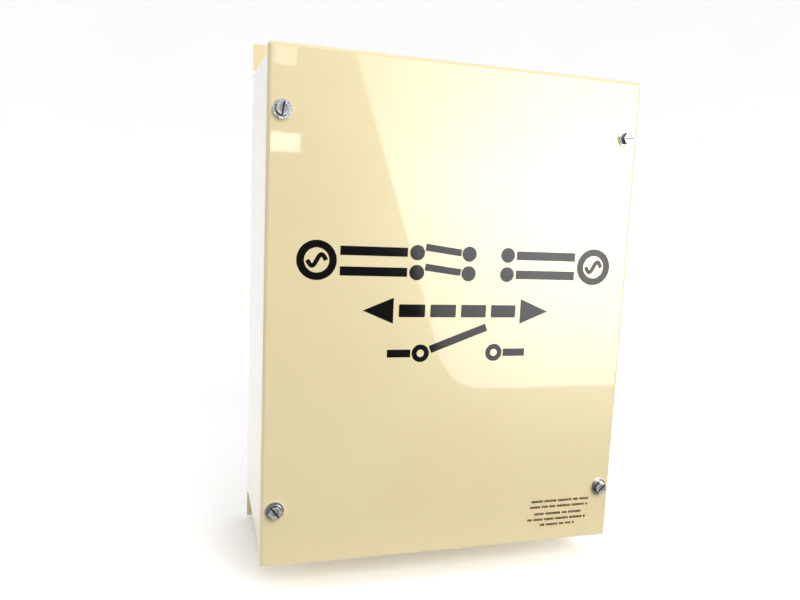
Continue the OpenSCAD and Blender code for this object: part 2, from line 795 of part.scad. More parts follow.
module fuse_block() color("#2b2b2b") {
  half_w = fuse_count * fuse_pitch / 2 + 1;
  slab([relay_x - half_w, -33, -4], [relay_x + half_w, control_y, 44]);
  for (x = [for (i = [0:fuse_count]) relay_x + (i - fuse_count / 2) * fuse_pitch])
    slab([x - 0.8, -44, 2], [x + 0.8, -33, 38]);
  for (x = fuse_x, z = [6, 29]) difference() {
    slab([x - fuse_r - 0.8, -45, z], [x + fuse_r + 0.8, -33, z + 5]);
    rod_z(z - 1, z + 6, x, fuse_y, fuse_r + 0.05);
    slab([x - fuse_r + 0.6, -46, z - 1], [x + fuse_r - 0.6, fuse_y, z + 6]);
    slab([x - fuse_r, fuse_y, z - 1], [x + fuse_r, -36, z + 6]);
  }
}

module fuses() color("silver")
  for (x = fuse_x) {
    rod_z(4, 36, x, fuse_y, fuse_r - 0.35);
    for (z = [4, 29.5]) rod_z(z, z + 6.5, x, fuse_y, fuse_r);
  }

module terminal_strip() color("#2b2b2b") {
  half_w = strip_positions * strip_pitch / 2;
  slab([relay_x - half_w - 2, -31, -64], [relay_x + half_w + 2, control_y, -40]);
  for (i = [0:strip_positions])
    slab([relay_x - half_w + i * strip_pitch - 1, -39, -62],
         [relay_x - half_w + i * strip_pitch + 1, -31, -42]);
  for (i = [0:strip_positions - 1], s = sides) {
    x = relay_x - half_w + (i + 0.5) * strip_pitch;
    slab([x - 3.6, -32, -52 + s * 5.5 - 4], [x + 3.6, -31, -52 + s * 5.5 + 4]);
    pan_screw(x, -32, -52 + s * 5.5, 1.6, 1);
  }
}

module neutral_bar() color("silver") {
  bar = [[-136, -47, -166], [-60, -27, -148]];
  difference() {
    slab(bar[0], bar[1]);
    for (x = [-116, -98, -80]) {
      rod_z(-170, -140, x, -36, lug_bore_r);
      rod_y(-48, -36, x, -157, 4.52);
    }
    for (x = [-128, -67]) rod_y(-48, -20, x, -157, 2.6);
  }
  for (x = [-116, -98, -80]) difference() {
    rod_y(-48.5, -43, x, -157, 4.5);
    translate([x, -46, -157]) rotate([90, 0, 0]) linear_extrude(5) hexagon(5);
  }
  for (x = [-128, -67]) {
    rod_y(-27, -sheet, x, -157, 6);
    hex_screw(x, -47, -157, 8, 3.5, 2.55, 20);
  }
}

module ground_lug() color("darkgoldenrod") difference() {
  union() {
    slab([96, -22, -165], [112, -4, -145]);
    slab([96, -4, -185], [112, -sheet, -145]);
    hex_screw(104, -4, -176, 8, 3.5, 2.5, 0);
    rod_y(-24, -22, 104, -155, 4.5);
  }
  rod_z(-170, -140, 104, -12, 4);
  translate([104, -22, -155]) rotate([90, 0, 0]) linear_extrude(4) hexagon(4.5);
}

// Routes of the control wires, each from terminal to terminal
wire_routes = [
  // Utility coil to the relay socket
  [[50, -98, 86], [56, -95, 92], [64, -82, 96], [72, -62, 98], [84, -48, 100], [101, -40, 99.8]],
  // Standby coil to the relay socket
  [[50, -98, -86], [57, -94, -93], [66, -78, -95], [74, -54, -88], [80, -36, -60],
   [81, -32, 0], [82, -32, 40], [86, -36, 54], [94, -38.5, 57.5], [101, -38.5, 59]],
  // Limit switches to the terminal strip
  [[63.7, -96, 39], [66, -92, 44], [70, -76, 44], [73, -56, 30], [75, -45, 0], [77, -42, -30],
   [84, -37, -36], [93, -35, -39]],
  [[63.7, -96, -39], [66, -90, -43], [71, -74, -44], [76, -56, -50], [82, -46, -66],
   [92, -40, -70], [105, -36, -66]],
  // Fuses to the terminal strip
  [[100, -37, -6], [100, -42, -14], [103, -42, -26], [105, -36, -37.5]],
  [[115, -37, -6], [115, -42, -14], [115, -42, -26], [115, -36, -37.5]],
  [[130, -37, -6], [130, -42, -14], [127, -42, -26], [125, -36, -37.5]]
];
wire_steps = 5;

// Point on a smooth curve through p, t of the way from point i to the next
function curve_at(p, i, t) = let (
  last = len(p) - 1, a = p[max(i - 1, 0)], b = p[i], c = p[min(i + 1, last)],
  d = p[min(i + 2, last)]
) 0.5 * (2 * b + (c - a) * t + (2 * a - 5 * b + 4 * c - d) * t * t
  + (3 * b - a - 3 * c + d) * t * t * t);

function smooth_route(p) = concat(
  [for (i = [0:len(p) - 2], s = [0:wire_steps - 1]) curve_at(p, i, s / wire_steps)],
  [p[len(p) - 1]]
);

module control_wires() color("firebrick")
  for (p = wire_routes) tube(smooth_route(p), wire_r, 8);

module manual_handle() color("dimgray") {
  rod_x(24, 96, handle_y, handle_z, handle_r);
  difference() {
    rod_x(92, 132, handle_y, handle_z, 8.5);
    rod_x(90, 96, handle_y, handle_z, handle_r);
    for (x = [100:6:126]) difference() {
      rod_x(x, x + 2, handle_y, handle_z, 10);
      rod_x(x - 1, x + 3, handle_y, handle_z, 7.8);
    }
  }
}

module handle_clips() color("gainsboro")
  for (x = [38, 74]) difference() {
    slab([x - 5, -47, handle_z - 6.4], [x + 5, -sheet, handle_z + 6.4]);
    rod_x(x - 6, x + 6, handle_y, handle_z, handle_r + 0.1);
    slab([x - 6, -48, handle_z - 5.1], [x + 6, handle_y, handle_z + 5.1]);
    slab([x - 6, -32.5, handle_z - 5.1], [x + 6, -3, handle_z + 5.1]);
  }

back_plate();
enclosure_wrap();
knockout_slugs();
cover_weld_nuts();
cover();
wiring_diagram();
cover_washers();
cover_screw(screw_places[0], screw_turned[0]);  // cover_screw_1
cover_screw(screw_places[1], screw_turned[1]);  // cover_screw_2
cover_screw(screw_places[2], screw_turned[2]);  // cover_screw_3
cover_screw(screw_places[3], screw_turned[3]);  // cover_screw_4
mechanism_standoffs();
mechanism_screws();
mechanism_frame();
shaft_bushings();
contact_blocks();
fixed_contact_straps();
fixed_contact_tips();
utility_lugs();
standby_lugs();
lug_set_screws();
terminal_bolts();
load_terminal_base();
load_straps();
load_lugs();
braids();
arc_chute_walls();
arc_plates();
rotor_shaft();
contact_carrier();
moving_contacts();
moving_contact_tips();
crank();
operating_lever();
solenoid_frames();
coil_bobbins();
utility_coil();
standby_coil();
solenoid_cores();
plunger_yoke();
spring_anchor();
spring_guide();
spring();
switch_bracket();
limit_switches();
utility_switch_lever();
standby_switch_lever();
control_plate();
relay_socket();
relay_works();
relay_armature();
relay_cover();
fuse_block();
fuses();
terminal_strip();
neutral_bar();
ground_lug();
control_wires();
manual_handle();
handle_clips();
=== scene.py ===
"""Looks of a wall-mounted automatic transfer switch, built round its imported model.

Metres, in the model's own frame: X to the right, Z up, the wall at y = 0 and the front facing -Y.
"""

import math
import random

import bmesh
import bpy
from mathutils import Matrix, Vector


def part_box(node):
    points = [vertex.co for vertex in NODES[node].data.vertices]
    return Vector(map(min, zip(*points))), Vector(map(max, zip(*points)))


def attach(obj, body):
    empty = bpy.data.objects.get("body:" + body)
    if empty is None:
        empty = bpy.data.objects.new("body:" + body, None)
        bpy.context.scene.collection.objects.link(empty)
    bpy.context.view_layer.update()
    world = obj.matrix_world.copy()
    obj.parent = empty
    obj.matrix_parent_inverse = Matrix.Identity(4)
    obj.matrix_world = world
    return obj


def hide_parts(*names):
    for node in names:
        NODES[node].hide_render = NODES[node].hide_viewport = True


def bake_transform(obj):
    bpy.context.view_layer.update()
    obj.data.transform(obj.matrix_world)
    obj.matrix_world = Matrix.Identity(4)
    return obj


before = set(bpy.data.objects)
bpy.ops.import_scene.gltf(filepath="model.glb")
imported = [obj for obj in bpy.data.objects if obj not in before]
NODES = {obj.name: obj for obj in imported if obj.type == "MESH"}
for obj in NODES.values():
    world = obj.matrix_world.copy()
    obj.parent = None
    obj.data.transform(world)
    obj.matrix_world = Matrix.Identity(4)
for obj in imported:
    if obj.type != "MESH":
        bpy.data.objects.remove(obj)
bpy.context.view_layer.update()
MM = 0.001

front_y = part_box("cover")[0].y


# ---- camera ----


def make_camera():
    """The photograph's viewpoint: a least-squares fit to corners and screws measured in it, then rounded."""
    eye = Vector((-0.208, front_y - 0.61, 0.095))
    heading, pitch, roll = math.radians(-19.4), math.radians(-8.35), math.radians(3.1)
    data = bpy.data.cameras.new("view")
    data.sensor_width = 36.0
    data.lens = 35.6
    data.shift_x = -0.081
    data.shift_y = 0.022
    data.clip_start = 0.01
    camera = bpy.data.objects.new("view", data)
    camera.matrix_world = (Matrix.Translation(eye) @ Matrix.Rotation(heading, 4, "Z")
                           @ Matrix.Rotation(math.pi / 2 + pitch, 4, "X") @ Matrix.Rotation(roll, 4, "Z"))
    bpy.context.scene.collection.objects.link(camera)
    bpy.context.scene.camera = camera


make_camera()


# ---- node materials ----


class Nodes:
    """A node tree and its coordinates, with short calls for the nodes that the finishes use."""

    def __init__(self, tree, coords):
        self.tree = tree
        self.coords = self.new("TexCoord").outputs[coords]

    def set(self, node, socket, value):
        """Links an output into a socket, or sets the socket's own value."""
        if hasattr(value, "is_output"):
            self.tree.links.new(value, node.inputs[socket])
        else:
            node.inputs[socket].default_value = value

    def new(self, kind, inputs=None, **props):
        node = self.tree.nodes.new("ShaderNode" + kind)
        for prop, value in props.items():
            setattr(node, prop, value)
        for socket, value in (inputs or {}).items():
            self.set(node, socket, value)
        return node

    def mapped(self, scale):
        return self.new("Mapping", {"Vector": self.coords, "Scale": scale}).outputs["Vector"]

    def noise(self, scale, detail=3.0, rough=0.5, distort=0.0, vector=None):
        inputs = {"Vector": vector or self.coords, "Scale": scale, "Detail": detail,
                  "Roughness": rough, "Distortion": distort}
        return self.new("TexNoise", inputs).outputs["Fac"]

    def cells(self, scale, vector=None):
        """Distance to the nearest cell's middle, and a random value for each cell."""
        node = self.new("TexVoronoi", {"Vector": vector or self.coords, "Scale": scale})
        tone = self.new("SeparateColor", {"Color": node.outputs["Color"]}).outputs["Red"]
        return node.outputs["Distance"], tone

    def waves(self, scale, distort=0.0, direction="X", vector=None):
        inputs = {"Vector": vector or self.coords, "Scale": scale, "Distortion": distort}
        return self.new("TexWave", inputs, bands_direction=direction).outputs["Fac"]

    def span(self, value, low, high, to_low=0.0, to_high=1.0, kind="LINEAR"):
        inputs = {"Value": value, "From Min": low, "From Max": high, "To Min": to_low, "To Max": to_high}
        return self.new("MapRange", inputs, interpolation_type=kind).outputs["Result"]

    def ramp(self, fac, *stops):
        node = self.new("ValToRGB", {"Fac": fac})
        elements = node.color_ramp.elements
        while len(elements) < len(stops):
            elements.new(0.5)
        for element, (at, colour) in zip(elements, stops):
            element.position = at
            element.color = (*colour, 1.0)
        return node.outputs["Color"]

    def mix(self, fac, a, b):
        node = self.new("Mix", data_type="RGBA")
        for socket, value in ((0, fac), (6, a), (7, b)):
            self.set(node, socket, (*value, 1.0) if isinstance(value, tuple) else value)
        return node.outputs[2]

    def maths(self, operation, a, b=0.0):
        node = self.new("Math", operation=operation)
        self.set(node, 0, a)
        self.set(node, 1, b)
        return node.outputs[0]

    def along(self, axis):
        """The coordinate along an axis, 0 to 2 for X to Z."""
        return self.new("SeparateXYZ", {"Vector": self.coords}).outputs[axis]

    def beyond(self, axis, at):
        """1 where the coordinate along an axis is past a value, and 0 elsewhere."""
        return self.maths("GREATER_THAN", self.along(axis), at)

    def bump(self, height, strength, distance, normal=None):
        inputs = {"Height": height, "Strength": strength, "Distance": distance}
        if normal is not None:
            inputs["Normal"] = normal
        return self.new("Bump", inputs).outputs["Normal"]


class Shade(Nodes):
    """One material and its node tree."""

    def __init__(self, name, **sockets):
        self.mat = bpy.data.materials.new(name)
        self.mat.use_nodes = True
        super().__init__(self.mat.node_tree, "Object")
        self.bsdf = self.tree.nodes["Principled BSDF"]
        for socket, value in sockets.items():
            self.bsdf.inputs[socket.replace("_", " ")].default_value = value

    def put(self, **sockets):
        for socket, value in sockets.items():
            self.tree.links.new(value, self.bsdf.inputs[socket.replace("_", " ")])
        return self.mat


def rgb(r, g, b):
    """A display colour, 0 to 255, as the linear values that shaders take."""
    def one(c):
        c /= 255.0
        return c / 12.92 if c <= 0.04045 else ((c + 0.055) / 1.055) ** 2.4
    return (one(r), one(g), one(b))


def shade_enamel():
    """Glossy beige stoving enamel: faint orange peel, clouds, tiny specks and hairline scratches."""
    s = Shade("box_enamel", IOR=1.5, Coat_Weight=1.0, Coat_Roughness=0.035)
    light = rgb(232, 217, 173)
    deep = rgb(228, 212, 167)
    colour = s.mix(s.span(s.noise(9.0, 4.0, 0.55), 0.3, 0.7), light, deep)
    speck = s.span(s.noise(900.0, 2.0, 0.6), 0.74, 0.80, 0.0, 0.25)
    colour = s.mix(speck, colour, rgb(196, 172, 122))
    smudge = s.span(s.noise(26.0, 5.0, 0.6, 0.6), 0.3, 0.7, 0.28, 0.35)
    scratch = s.span(s.noise(70.0, 2.0, 0.5, 0.0, s.mapped((1.0, 1.0, 30.0))), 0.78, 0.82)
    peel = s.bump(s.noise(210.0, 2.0), 0.05, 0.0004)
    return s.put(Base_Color=colour, Roughness=smudge, Normal=s.bump(scratch, 0.03, 0.0002, peel),
                 Coat_Normal=s.bump(s.noise(150.0, 2.0), 0.030, 0.0004))


def shade_ink():
    """Screen-printed black, slightly uneven, with pinholes."""
    s = Shade("black_ink", IOR=1.36)
    holes = s.span(s.noise(1400.0, 2.0, 0.7), 0.70, 0.76, 0.0, 0.4)
    colour = s.mix(s.noise(45.0), rgb(3, 3, 5), rgb(12, 11, 13))
    return s.put(Base_Color=s.mix(holes, colour, rgb(70, 62, 48)),
                 Roughness=s.span(s.noise(80.0), 0.2, 0.8, 0.07, 0.13),
                 Normal=s.bump(s.noise(900.0, 2.0), 0.03, 0.0001))


def shade_film():
    """Clear sticker that has yellowed: it shows the paint behind it, a little greyer."""
    s = Shade("label_film", IOR=1.46)
    cloud = s.noise(60.0, 4.0, 0.6)
    colour = s.ramp(cloud, (0.3, rgb(231, 212, 165)), (0.7, rgb(225, 207, 164)))
    return s.put(Base_Color=colour, Roughness=s.span(s.noise(240.0), 0.3, 0.7, 0.22, 0.42),
                 Normal=s.bump(cloud, 0.08, 0.0005))


def shade_zinc():
    """Bright zinc plate: bluish, cloudy, here and there straw-yellow, with fine tool marks."""
    s = Shade("zinc_plate", Metallic=0.9)
    colour = s.ramp(s.noise(160.0, 4.0, 0.6), (0.3, rgb(190, 198, 206)),
                    (0.55, rgb(236, 239, 242)), (0.75, rgb(226, 221, 206)))
    marks = s.noise(60.0, 4.0, 0.7, vector=s.mapped((1.0, 1.0, 22.0)))
    return s.put(Base_Color=colour, Roughness=s.span(s.noise(500.0, 3.0, 0.6), 0.2, 0.8, 0.06, 0.2),
                 Normal=s.bump(marks, 0.22, 0.0003))


def shade_screw_plate():
    """The cover screws' zinc: bright on top and flange, with painted shade darkening the slot, the hexagon's
    sides and the rim.
    """
    s = Shade("screw_plate")
    depth = s.along(1)
    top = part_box("cover_screw_1")[0].y
    hexagon_h = 4.2 * MM
    flange = top + hexagon_h
    # Painted shade: the hexagon's sides, the slot walls and the flange's rim are darkened to near-black, in
    # patches.
    sides = s.maths("MULTIPLY", s.span(depth, top + 0.3 * MM, top + 0.8 * MM),
                    s.span(depth, flange - 0.1 * MM, flange + 0.05 * MM, 1.0, 0.0))
    rim = s.span(depth, flange + 0.2 * MM, flange + 0.7 * MM)
    patches = s.span(s.noise(700.0, 4.0, 0.7), 0.2, 0.5, 0.7, 0.96)
    painted_shade = s.maths("MULTIPLY", s.maths("MAXIMUM", sides, rim), patches)
    streaks = s.noise(500.0, 4.0, 0.7, vector=s.mapped((1.0, 1.0, 0.12)))
    bright = s.ramp(streaks, (0.3, rgb(186, 192, 198)), (0.5, rgb(236, 238, 240)),
                    (0.7, rgb(218, 216, 206)))
    return s.put(Base_Color=s.mix(painted_shade, bright, rgb(34, 36, 40)),
                 Metallic=s.span(streaks, 0.3, 0.7, 0.55, 0.85),
                 Roughness=s.span(streaks, 0.25, 0.75, 0.08, 0.24), Normal=s.bump(streaks, 0.35, 0.0002))


def shade_galvanised():
    """Galvanised sheet: spangle cells of different greys, and a dull white bloom."""
    s = Shade("galvanised_sheet", Metallic=1.0)
    edge, tone = s.cells(150.0, s.mapped((1.0, 1.0, 0.7)))
    colour = s.ramp(tone, (0.0, rgb(150, 156, 162)), (1.0, rgb(202, 207, 210)))
    bloom = s.span(s.noise(22.0, 5.0, 0.65), 0.5, 0.8, 0.0, 0.5)
    return s.put(Base_Color=s.mix(bloom, colour, rgb(206, 208, 208)),
                 Roughness=s.span(s.noise(70.0, 4.0, 0.6), 0.25, 0.75, 0.26, 0.5),
                 Normal=s.bump(edge, 0.12, 0.0004))


def shade_steel():
    """Machined steel under a film of oil, with turning lines and a few brown stains."""
    s = Shade("machined_steel", Metallic=1.0)
    lines = s.noise(40.0, 5.0, 0.7, vector=s.mapped((30.0, 1.0, 1.0)))
    stain = s.span(s.noise(55.0, 5.0, 0.6, 0.4), 0.58, 0.8, 0.0, 0.5)
    colour = s.ramp(lines, (0.25, rgb(132, 134, 138)), (0.75, rgb(188, 190, 192)))
    return s.put(Base_Color=s.mix(stain, colour, rgb(118, 98, 78)),
                 Roughness=s.span(lines, 0.2, 0.8, 0.2, 0.42), Normal=s.bump(lines, 0.15, 0.0002))


def shade_copper():
    """Rolled copper bar: salmon metal, darker with age in patches, with rolling lines."""
    s = Shade("copper_bar", Metallic=1.0)
    age = s.noise(38.0, 6.0, 0.62, 0.7)
    colour = s.ramp(age, (0.28, rgb(150, 82, 58)), (0.5, rgb(205, 124, 92)),
                    (0.72, rgb(226, 152, 116)))
    lines = s.noise(60.0, 4.0, 0.6, vector=s.mapped((18.0, 1.0, 1.0)))
    return s.put(Base_Color=colour, Roughness=s.span(age, 0.3, 0.7, 0.46, 0.24),
                 Normal=s.bump(lines, 0.12, 0.0002))


def shade_braid_wire():
    """Fine copper wires plaited into a strap; the strands come from the mesh, the wires from here."""
    s = Shade("braid_wire", Metallic=1.0)
    wires = s.waves(1300.0, 2.0, "DIAGONAL")
    colour = s.ramp(s.noise(180.0, 4.0, 0.6), (0.3, rgb(128, 66, 42)), (0.7, rgb(214, 134, 98)))
    return s.put(Base_Color=colour, Roughness=s.span(wires, 0.0, 1.0, 0.5, 0.3),
                 Normal=s.bump(wires, 0.5, 0.0002))


def shade_silver():
    """Silver-cadmium contact face: pale, satin, with grey sulphide and small arc pits."""
    s = Shade("contact_silver_face", Metallic=1.0)
    pits = s.span(s.noise(1500.0, 3.0, 0.6), 0.62, 0.74)
    colour = s.ramp(s.noise(240.0, 4.0, 0.6), (0.3, rgb(168, 162, 152)), (0.7, rgb(226, 223, 215)))
    return s.put(Base_Color=s.mix(pits, colour, rgb(92, 86, 80)),
                 Roughness=s.span(s.noise(700.0), 0.2, 0.8, 0.28, 0.5), Normal=s.bump(pits, 0.3, 0.0001))


def shade_aluminium():
    """Tin-plated extruded aluminium: pale satin metal with draw lines along Z."""
    s = Shade("plated_aluminium", Metallic=1.0)
    lines = s.noise(55.0, 5.0, 0.7, vector=s.mapped((16.0, 16.0, 1.0)))
    colour = s.ramp(s.noise(48.0, 4.0), (0.3, rgb(176, 179, 182)), (0.7, rgb(212, 214, 215)))
    return s.put(Base_Color=colour, Roughness=s.span(lines, 0.2, 0.8, 0.3, 0.5),
                 Normal=s.bump(lines, 0.22, 0.0003))


def shade_neutral_bar():
    """The aluminium bar on two nylon standoffs, which lie nearer the wall than the bar."""
    s = Shade("neutral_bar_parts")
    lines = s.noise(55.0, 5.0, 0.7, vector=s.mapped((1.0, 16.0, 16.0)))
    behind = s.beyond(1, -27.2 * MM)
    metal = s.ramp(s.noise(48.0, 4.0), (0.3, rgb(172, 175, 178)), (0.7, rgb(210, 212, 213)))
    nylon = s.ramp(s.noise(30.0), (0.3, rgb(214, 206, 184)), (0.7, rgb(228, 222, 204)))
    return s.put(Base_Color=s.mix(behind, metal, nylon), Metallic=s.maths("SUBTRACT", 1.0, behind),
                 Roughness=s.span(lines, 0.2, 0.8, 0.3, 0.5), Normal=s.bump(lines, 0.2, 0.0003))


def shade_phenolic():
    """Brown-black thermoset moulding: mottled filler, satin skin and faint flow lines."""
    s = Shade("phenolic_moulding", IOR=1.55)
    flow = s.noise(24.0, 5.0, 0.65, 1.2)
    fleck = s.span(s.noise(520.0, 3.0, 0.6), 0.60, 0.72, 0.0, 0.6)
    colour = s.mix(flow, rgb(58, 34, 24), rgb(88, 55, 38))
    return s.put(Base_Color=s.mix(fleck, colour, rgb(128, 92, 66)),
                 Roughness=s.span(flow, 0.3, 0.7, 0.3, 0.5), Normal=s.bump(s.noise(420.0), 0.12, 0.0003))


def shade_black_plastic():
    """Black glass-filled nylon with a fine spark-eroded texture and grey dust."""
    s = Shade("black_moulding", IOR=1.5)
    grain = s.noise(1300.0, 2.0, 0.6)
    dust = s.span(s.noise(30.0, 5.0, 0.6), 0.52, 0.8, 0.0, 0.35)
    colour = s.mix(s.noise(90.0), rgb(24, 24, 26), rgb(38, 38, 40))
    return s.put(Base_Color=s.mix(dust, colour, rgb(92, 88, 82)),
                 Roughness=s.span(grain, 0.2, 0.8, 0.36, 0.58), Normal=s.bump(grain, 0.22, 0.0002))


def shade_nylon():
    """Natural nylon: ivory, waxy, a little see-through."""
    s = Shade("natural_nylon", IOR=1.53, Subsurface_Weight=0.15, Subsurface_Scale=0.002)
    cloud = s.noise(60.0, 4.0, 0.6)
    return s.put(Base_Color=s.mix(cloud, rgb(222, 214, 188), rgb(238, 233, 214)),
                 Roughness=s.span(cloud, 0.3, 0.7, 0.32, 0.46), Normal=s.bump(s.noise(600.0), 0.08, 0.0002))


def shade_fibre():
    """Vulcanised fibre sheet: brick-brown, matt, with pressed fibres and sooty streaks at the arcs."""
    s = Shade("vulcanised_fibre_sheet", IOR=1.5)
    fibres = s.noise(90.0, 6.0, 0.7, 0.5, s.mapped((1.0, 5.0, 1.0)))
    soot = s.span(s.noise(40.0, 5.0, 0.6), 0.5, 0.75, 0.0, 0.55)
    colour = s.ramp(fibres, (0.3, rgb(138, 88, 62)), (0.7, rgb(178, 124, 92)))
    return s.put(Base_Color=s.mix(soot, colour, rgb(70, 54, 46)),
                 Roughness=s.span(fibres, 0.2, 0.8, 0.6, 0.8), Normal=s.bump(fibres, 0.3, 0.0004))


def shade_arc_steel():
    """Copper-flashed steel arc plates, blued and sooted by switching."""
    s = Shade("arc_plate_steel", Metallic=1.0)
    heat = s.noise(75.0, 4.0, 0.6, 0.8)
    colour = s.ramp(heat, (0.3, rgb(112, 108, 108)), (0.5, rgb(168, 148, 132)),
                    (0.7, rgb(128, 132, 146)))
    return s.put(Base_Color=colour, Roughness=s.span(heat, 0.2, 0.8, 0.3, 0.55),
                 Normal=s.bump(s.noise(500.0), 0.15, 0.0002))


def shade_red_paint():
    """Red enamel on the hand lever, scuffed pale where a hand rubs it."""
    s = Shade("red_enamel", IOR=1.5, Coat_Weight=0.7, Coat_Roughness=0.08)
    worn = s.span(s.noise(130.0, 6.0, 0.7), 0.66, 0.74, 0.0, 0.7)
    colour = s.mix(s.noise(35.0), rgb(178, 26, 22), rgb(158, 18, 18))
    return s.put(Base_Color=s.mix(worn, colour, rgb(206, 120, 108)),
                 Roughness=s.span(s.noise(60.0), 0.3, 0.7, 0.25, 0.42),
                 Normal=s.bump(worn, 0.3, 0.0001, s.bump(s.noise(300.0), 0.06, 0.0003)))


def shade_magnet_wire():
    """Enamelled winding wire: amber varnish over copper."""
    s = Shade("magnet_wire", Metallic=0.85, Coat_Weight=0.6, Coat_Roughness=0.1)
    colour = s.ramp(s.noise(120.0, 4.0, 0.6), (0.3, rgb(118, 58, 26)), (0.7, rgb(190, 104, 52)))
    return s.put(Base_Color=colour, Roughness=s.span(s.noise(300.0), 0.3, 0.7, 0.26, 0.4),
                 Normal=s.bump(s.waves(900.0, 1.0, "Z"), 0.1, 0.0001))


def shade_coil_tape():
    """Yellow polyester tape wound in overlapping turns, with small bubbles."""
    s = Shade("coil_tape", IOR=1.5, Coat_Weight=0.4, Coat_Roughness=0.15)
    laps = s.span(s.waves(26.0, 1.5, "Z"), 0.86, 0.98)
    colour = s.mix(s.noise(60.0, 4.0), rgb(214, 164, 40), rgb(232, 190, 74))
    return s.put(Base_Color=s.mix(laps, colour, rgb(176, 126, 26)),
                 Roughness=s.span(s.noise(120.0), 0.3, 0.7, 0.28, 0.45),
                 Normal=s.bump(laps, 0.4, 0.0003, s.bump(s.noise(260.0), 0.12, 0.0004)))


def shade_clear_cover():
    """Clear polycarbonate relay cover, faintly blue, with fine scratches."""
    s = Shade("clear_polycarbonate", IOR=1.45, Transmission_Weight=0.92, Alpha=0.55)
    scratch = s.noise(160.0, 6.0, 0.75, 0.0, s.mapped((1.0, 1.0, 14.0)))
    return s.put(Base_Color=s.mix(scratch, rgb(236, 243, 247), rgb(220, 232, 240)),
                 Roughness=s.span(scratch, 0.5, 0.75, 0.04, 0.2), Normal=s.bump(scratch, 0.05, 0.0002))


def shade_ceramic():
    """Glazed white ceramic fuse tube, with a sandy look under the glaze."""
    s = Shade("fuse_ceramic", IOR=1.5, Coat_Weight=0.6, Coat_Roughness=0.08)
    grain = s.noise(480.0, 3.0, 0.6)
    return s.put(Base_Color=s.mix(grain, rgb(236, 233, 224), rgb(214, 209, 196)),
                 Roughness=s.span(grain, 0.3, 0.7, 0.3, 0.42), Normal=s.bump(grain, 0.1, 0.0002))


def shade_brass():
    """Yellow brass with brown tarnish and draw lines."""
    s = Shade("yellow_brass", Metallic=1.0)
    age = s.noise(60.0, 5.0, 0.6, 0.5)
    colour = s.ramp(age, (0.3, rgb(140, 104, 48)), (0.55, rgb(206, 168, 92)),
                    (0.75, rgb(222, 190, 118)))
    return s.put(Base_Color=colour, Roughness=s.span(age, 0.3, 0.7, 0.44, 0.24),
                 Normal=s.bump(s.noise(300.0), 0.1, 0.0002))


def shade_green_screw_brass():
    """The earth lug in brass, with its clamp screw, nearest the front, dyed green."""
    s = Shade("earth_lug_parts", Metallic=1.0)
    metal = s.ramp(s.noise(60.0, 5.0, 0.6, 0.5), (0.3, rgb(150, 112, 54)), (0.7, rgb(214, 178, 104)))
    green = s.mix(s.noise(90.0), rgb(28, 108, 52), rgb(44, 136, 70))
    in_front = s.maths("SUBTRACT", 1.0, s.beyond(1, -22.1 * MM))
    return s.put(Base_Color=s.mix(in_front, metal, green),
                 Roughness=s.span(s.noise(240.0), 0.3, 0.7, 0.24, 0.4),
                 Normal=s.bump(s.noise(320.0), 0.1, 0.0002))


def shade_black_oxide():
    """Blackened screw steel with oily sheen and bare corners."""
    s = Shade("black_oxide_steel", Metallic=0.9)
    oil = s.noise(220.0, 4.0, 0.6)
    return s.put(Base_Color=s.ramp(oil, (0.35, rgb(44, 44, 48)), (0.75, rgb(92, 90, 90))),
                 Roughness=s.span(oil, 0.3, 0.7, 0.3, 0.46), Normal=s.bump(s.noise(700.0), 0.15, 0.0002))


def shade_paper():
    """Uncoated paper, slightly yellowed, with visible fibres and a few foxing spots."""
    s = Shade("diagram_sheet", Roughness=0.85)
    fibres = s.noise(700.0, 4.0, 0.7, 0.0, s.mapped((1.0, 1.0, 0.4)))
    foxing = s.span(s.noise(36.0, 4.0, 0.6), 0.66, 0.8, 0.0, 0.4)
    colour = s.mix(fibres, rgb(238, 233, 216), rgb(224, 217, 196))
    return s.put(Base_Color=s.mix(foxing, colour, rgb(190, 160, 112)), Normal=s.bump(fibres, 0.25, 0.0002))


def shade_insulation(name, light, dark):
    """Vinyl wire insulation: semi-gloss with extrusion streaks."""
    s = Shade(name, IOR=1.5)
    streaks = s.noise(420.0, 3.0, 0.6)
    return s.put(Base_Color=s.mix(streaks, rgb(*light), rgb(*dark)),
                 Roughness=s.span(streaks, 0.3, 0.7, 0.3, 0.44), Normal=s.bump(streaks, 0.08, 0.0002))


def shade_rubber():
    """Black grip rubber, matt and dusty in its grooves."""
    s = Shade("grip_rubber", IOR=1.5)
    grain = s.noise(900.0, 3.0, 0.6)
    dust = s.span(s.noise(60.0, 5.0, 0.6), 0.5, 0.8, 0.0, 0.4)
    return s.put(Base_Color=s.mix(dust, rgb(30, 30, 31), rgb(86, 84, 80)),
                 Roughness=s.span(grain, 0.2, 0.8, 0.62, 0.8), Normal=s.bump(grain, 0.3, 0.0002))


ink = shade_ink()
film = shade_film()
zinc = shade_zinc()
steel = shade_steel()
braid_wire = shade_braid_wire()
silver = shade_silver()
black_plastic = shade_black_plastic()
nylon = shade_nylon()
magnet_wire = shade_magnet_wire()
coil_tape = shade_coil_tape()
ceramic = shade_ceramic()
brass = shade_brass()
black_oxide = shade_black_oxide()
rubber = shade_rubber()
red_button = shade_insulation("red_button", (196, 34, 28), (166, 22, 20))
WIRE_COLOURS = {
    "blue": ((34, 66, 156), (24, 50, 128)),
    "red": ((190, 30, 26), (158, 20, 20)),
    "black": ((34, 34, 36), (22, 22, 24)),
    "yellow": ((226, 188, 40), (200, 160, 28)),
    "white": ((226, 224, 214), (206, 202, 190)),
}
INSULATION = {name: shade_insulation(name + "_insulation", *tones) for name, tones in WIRE_COLOURS.items()}

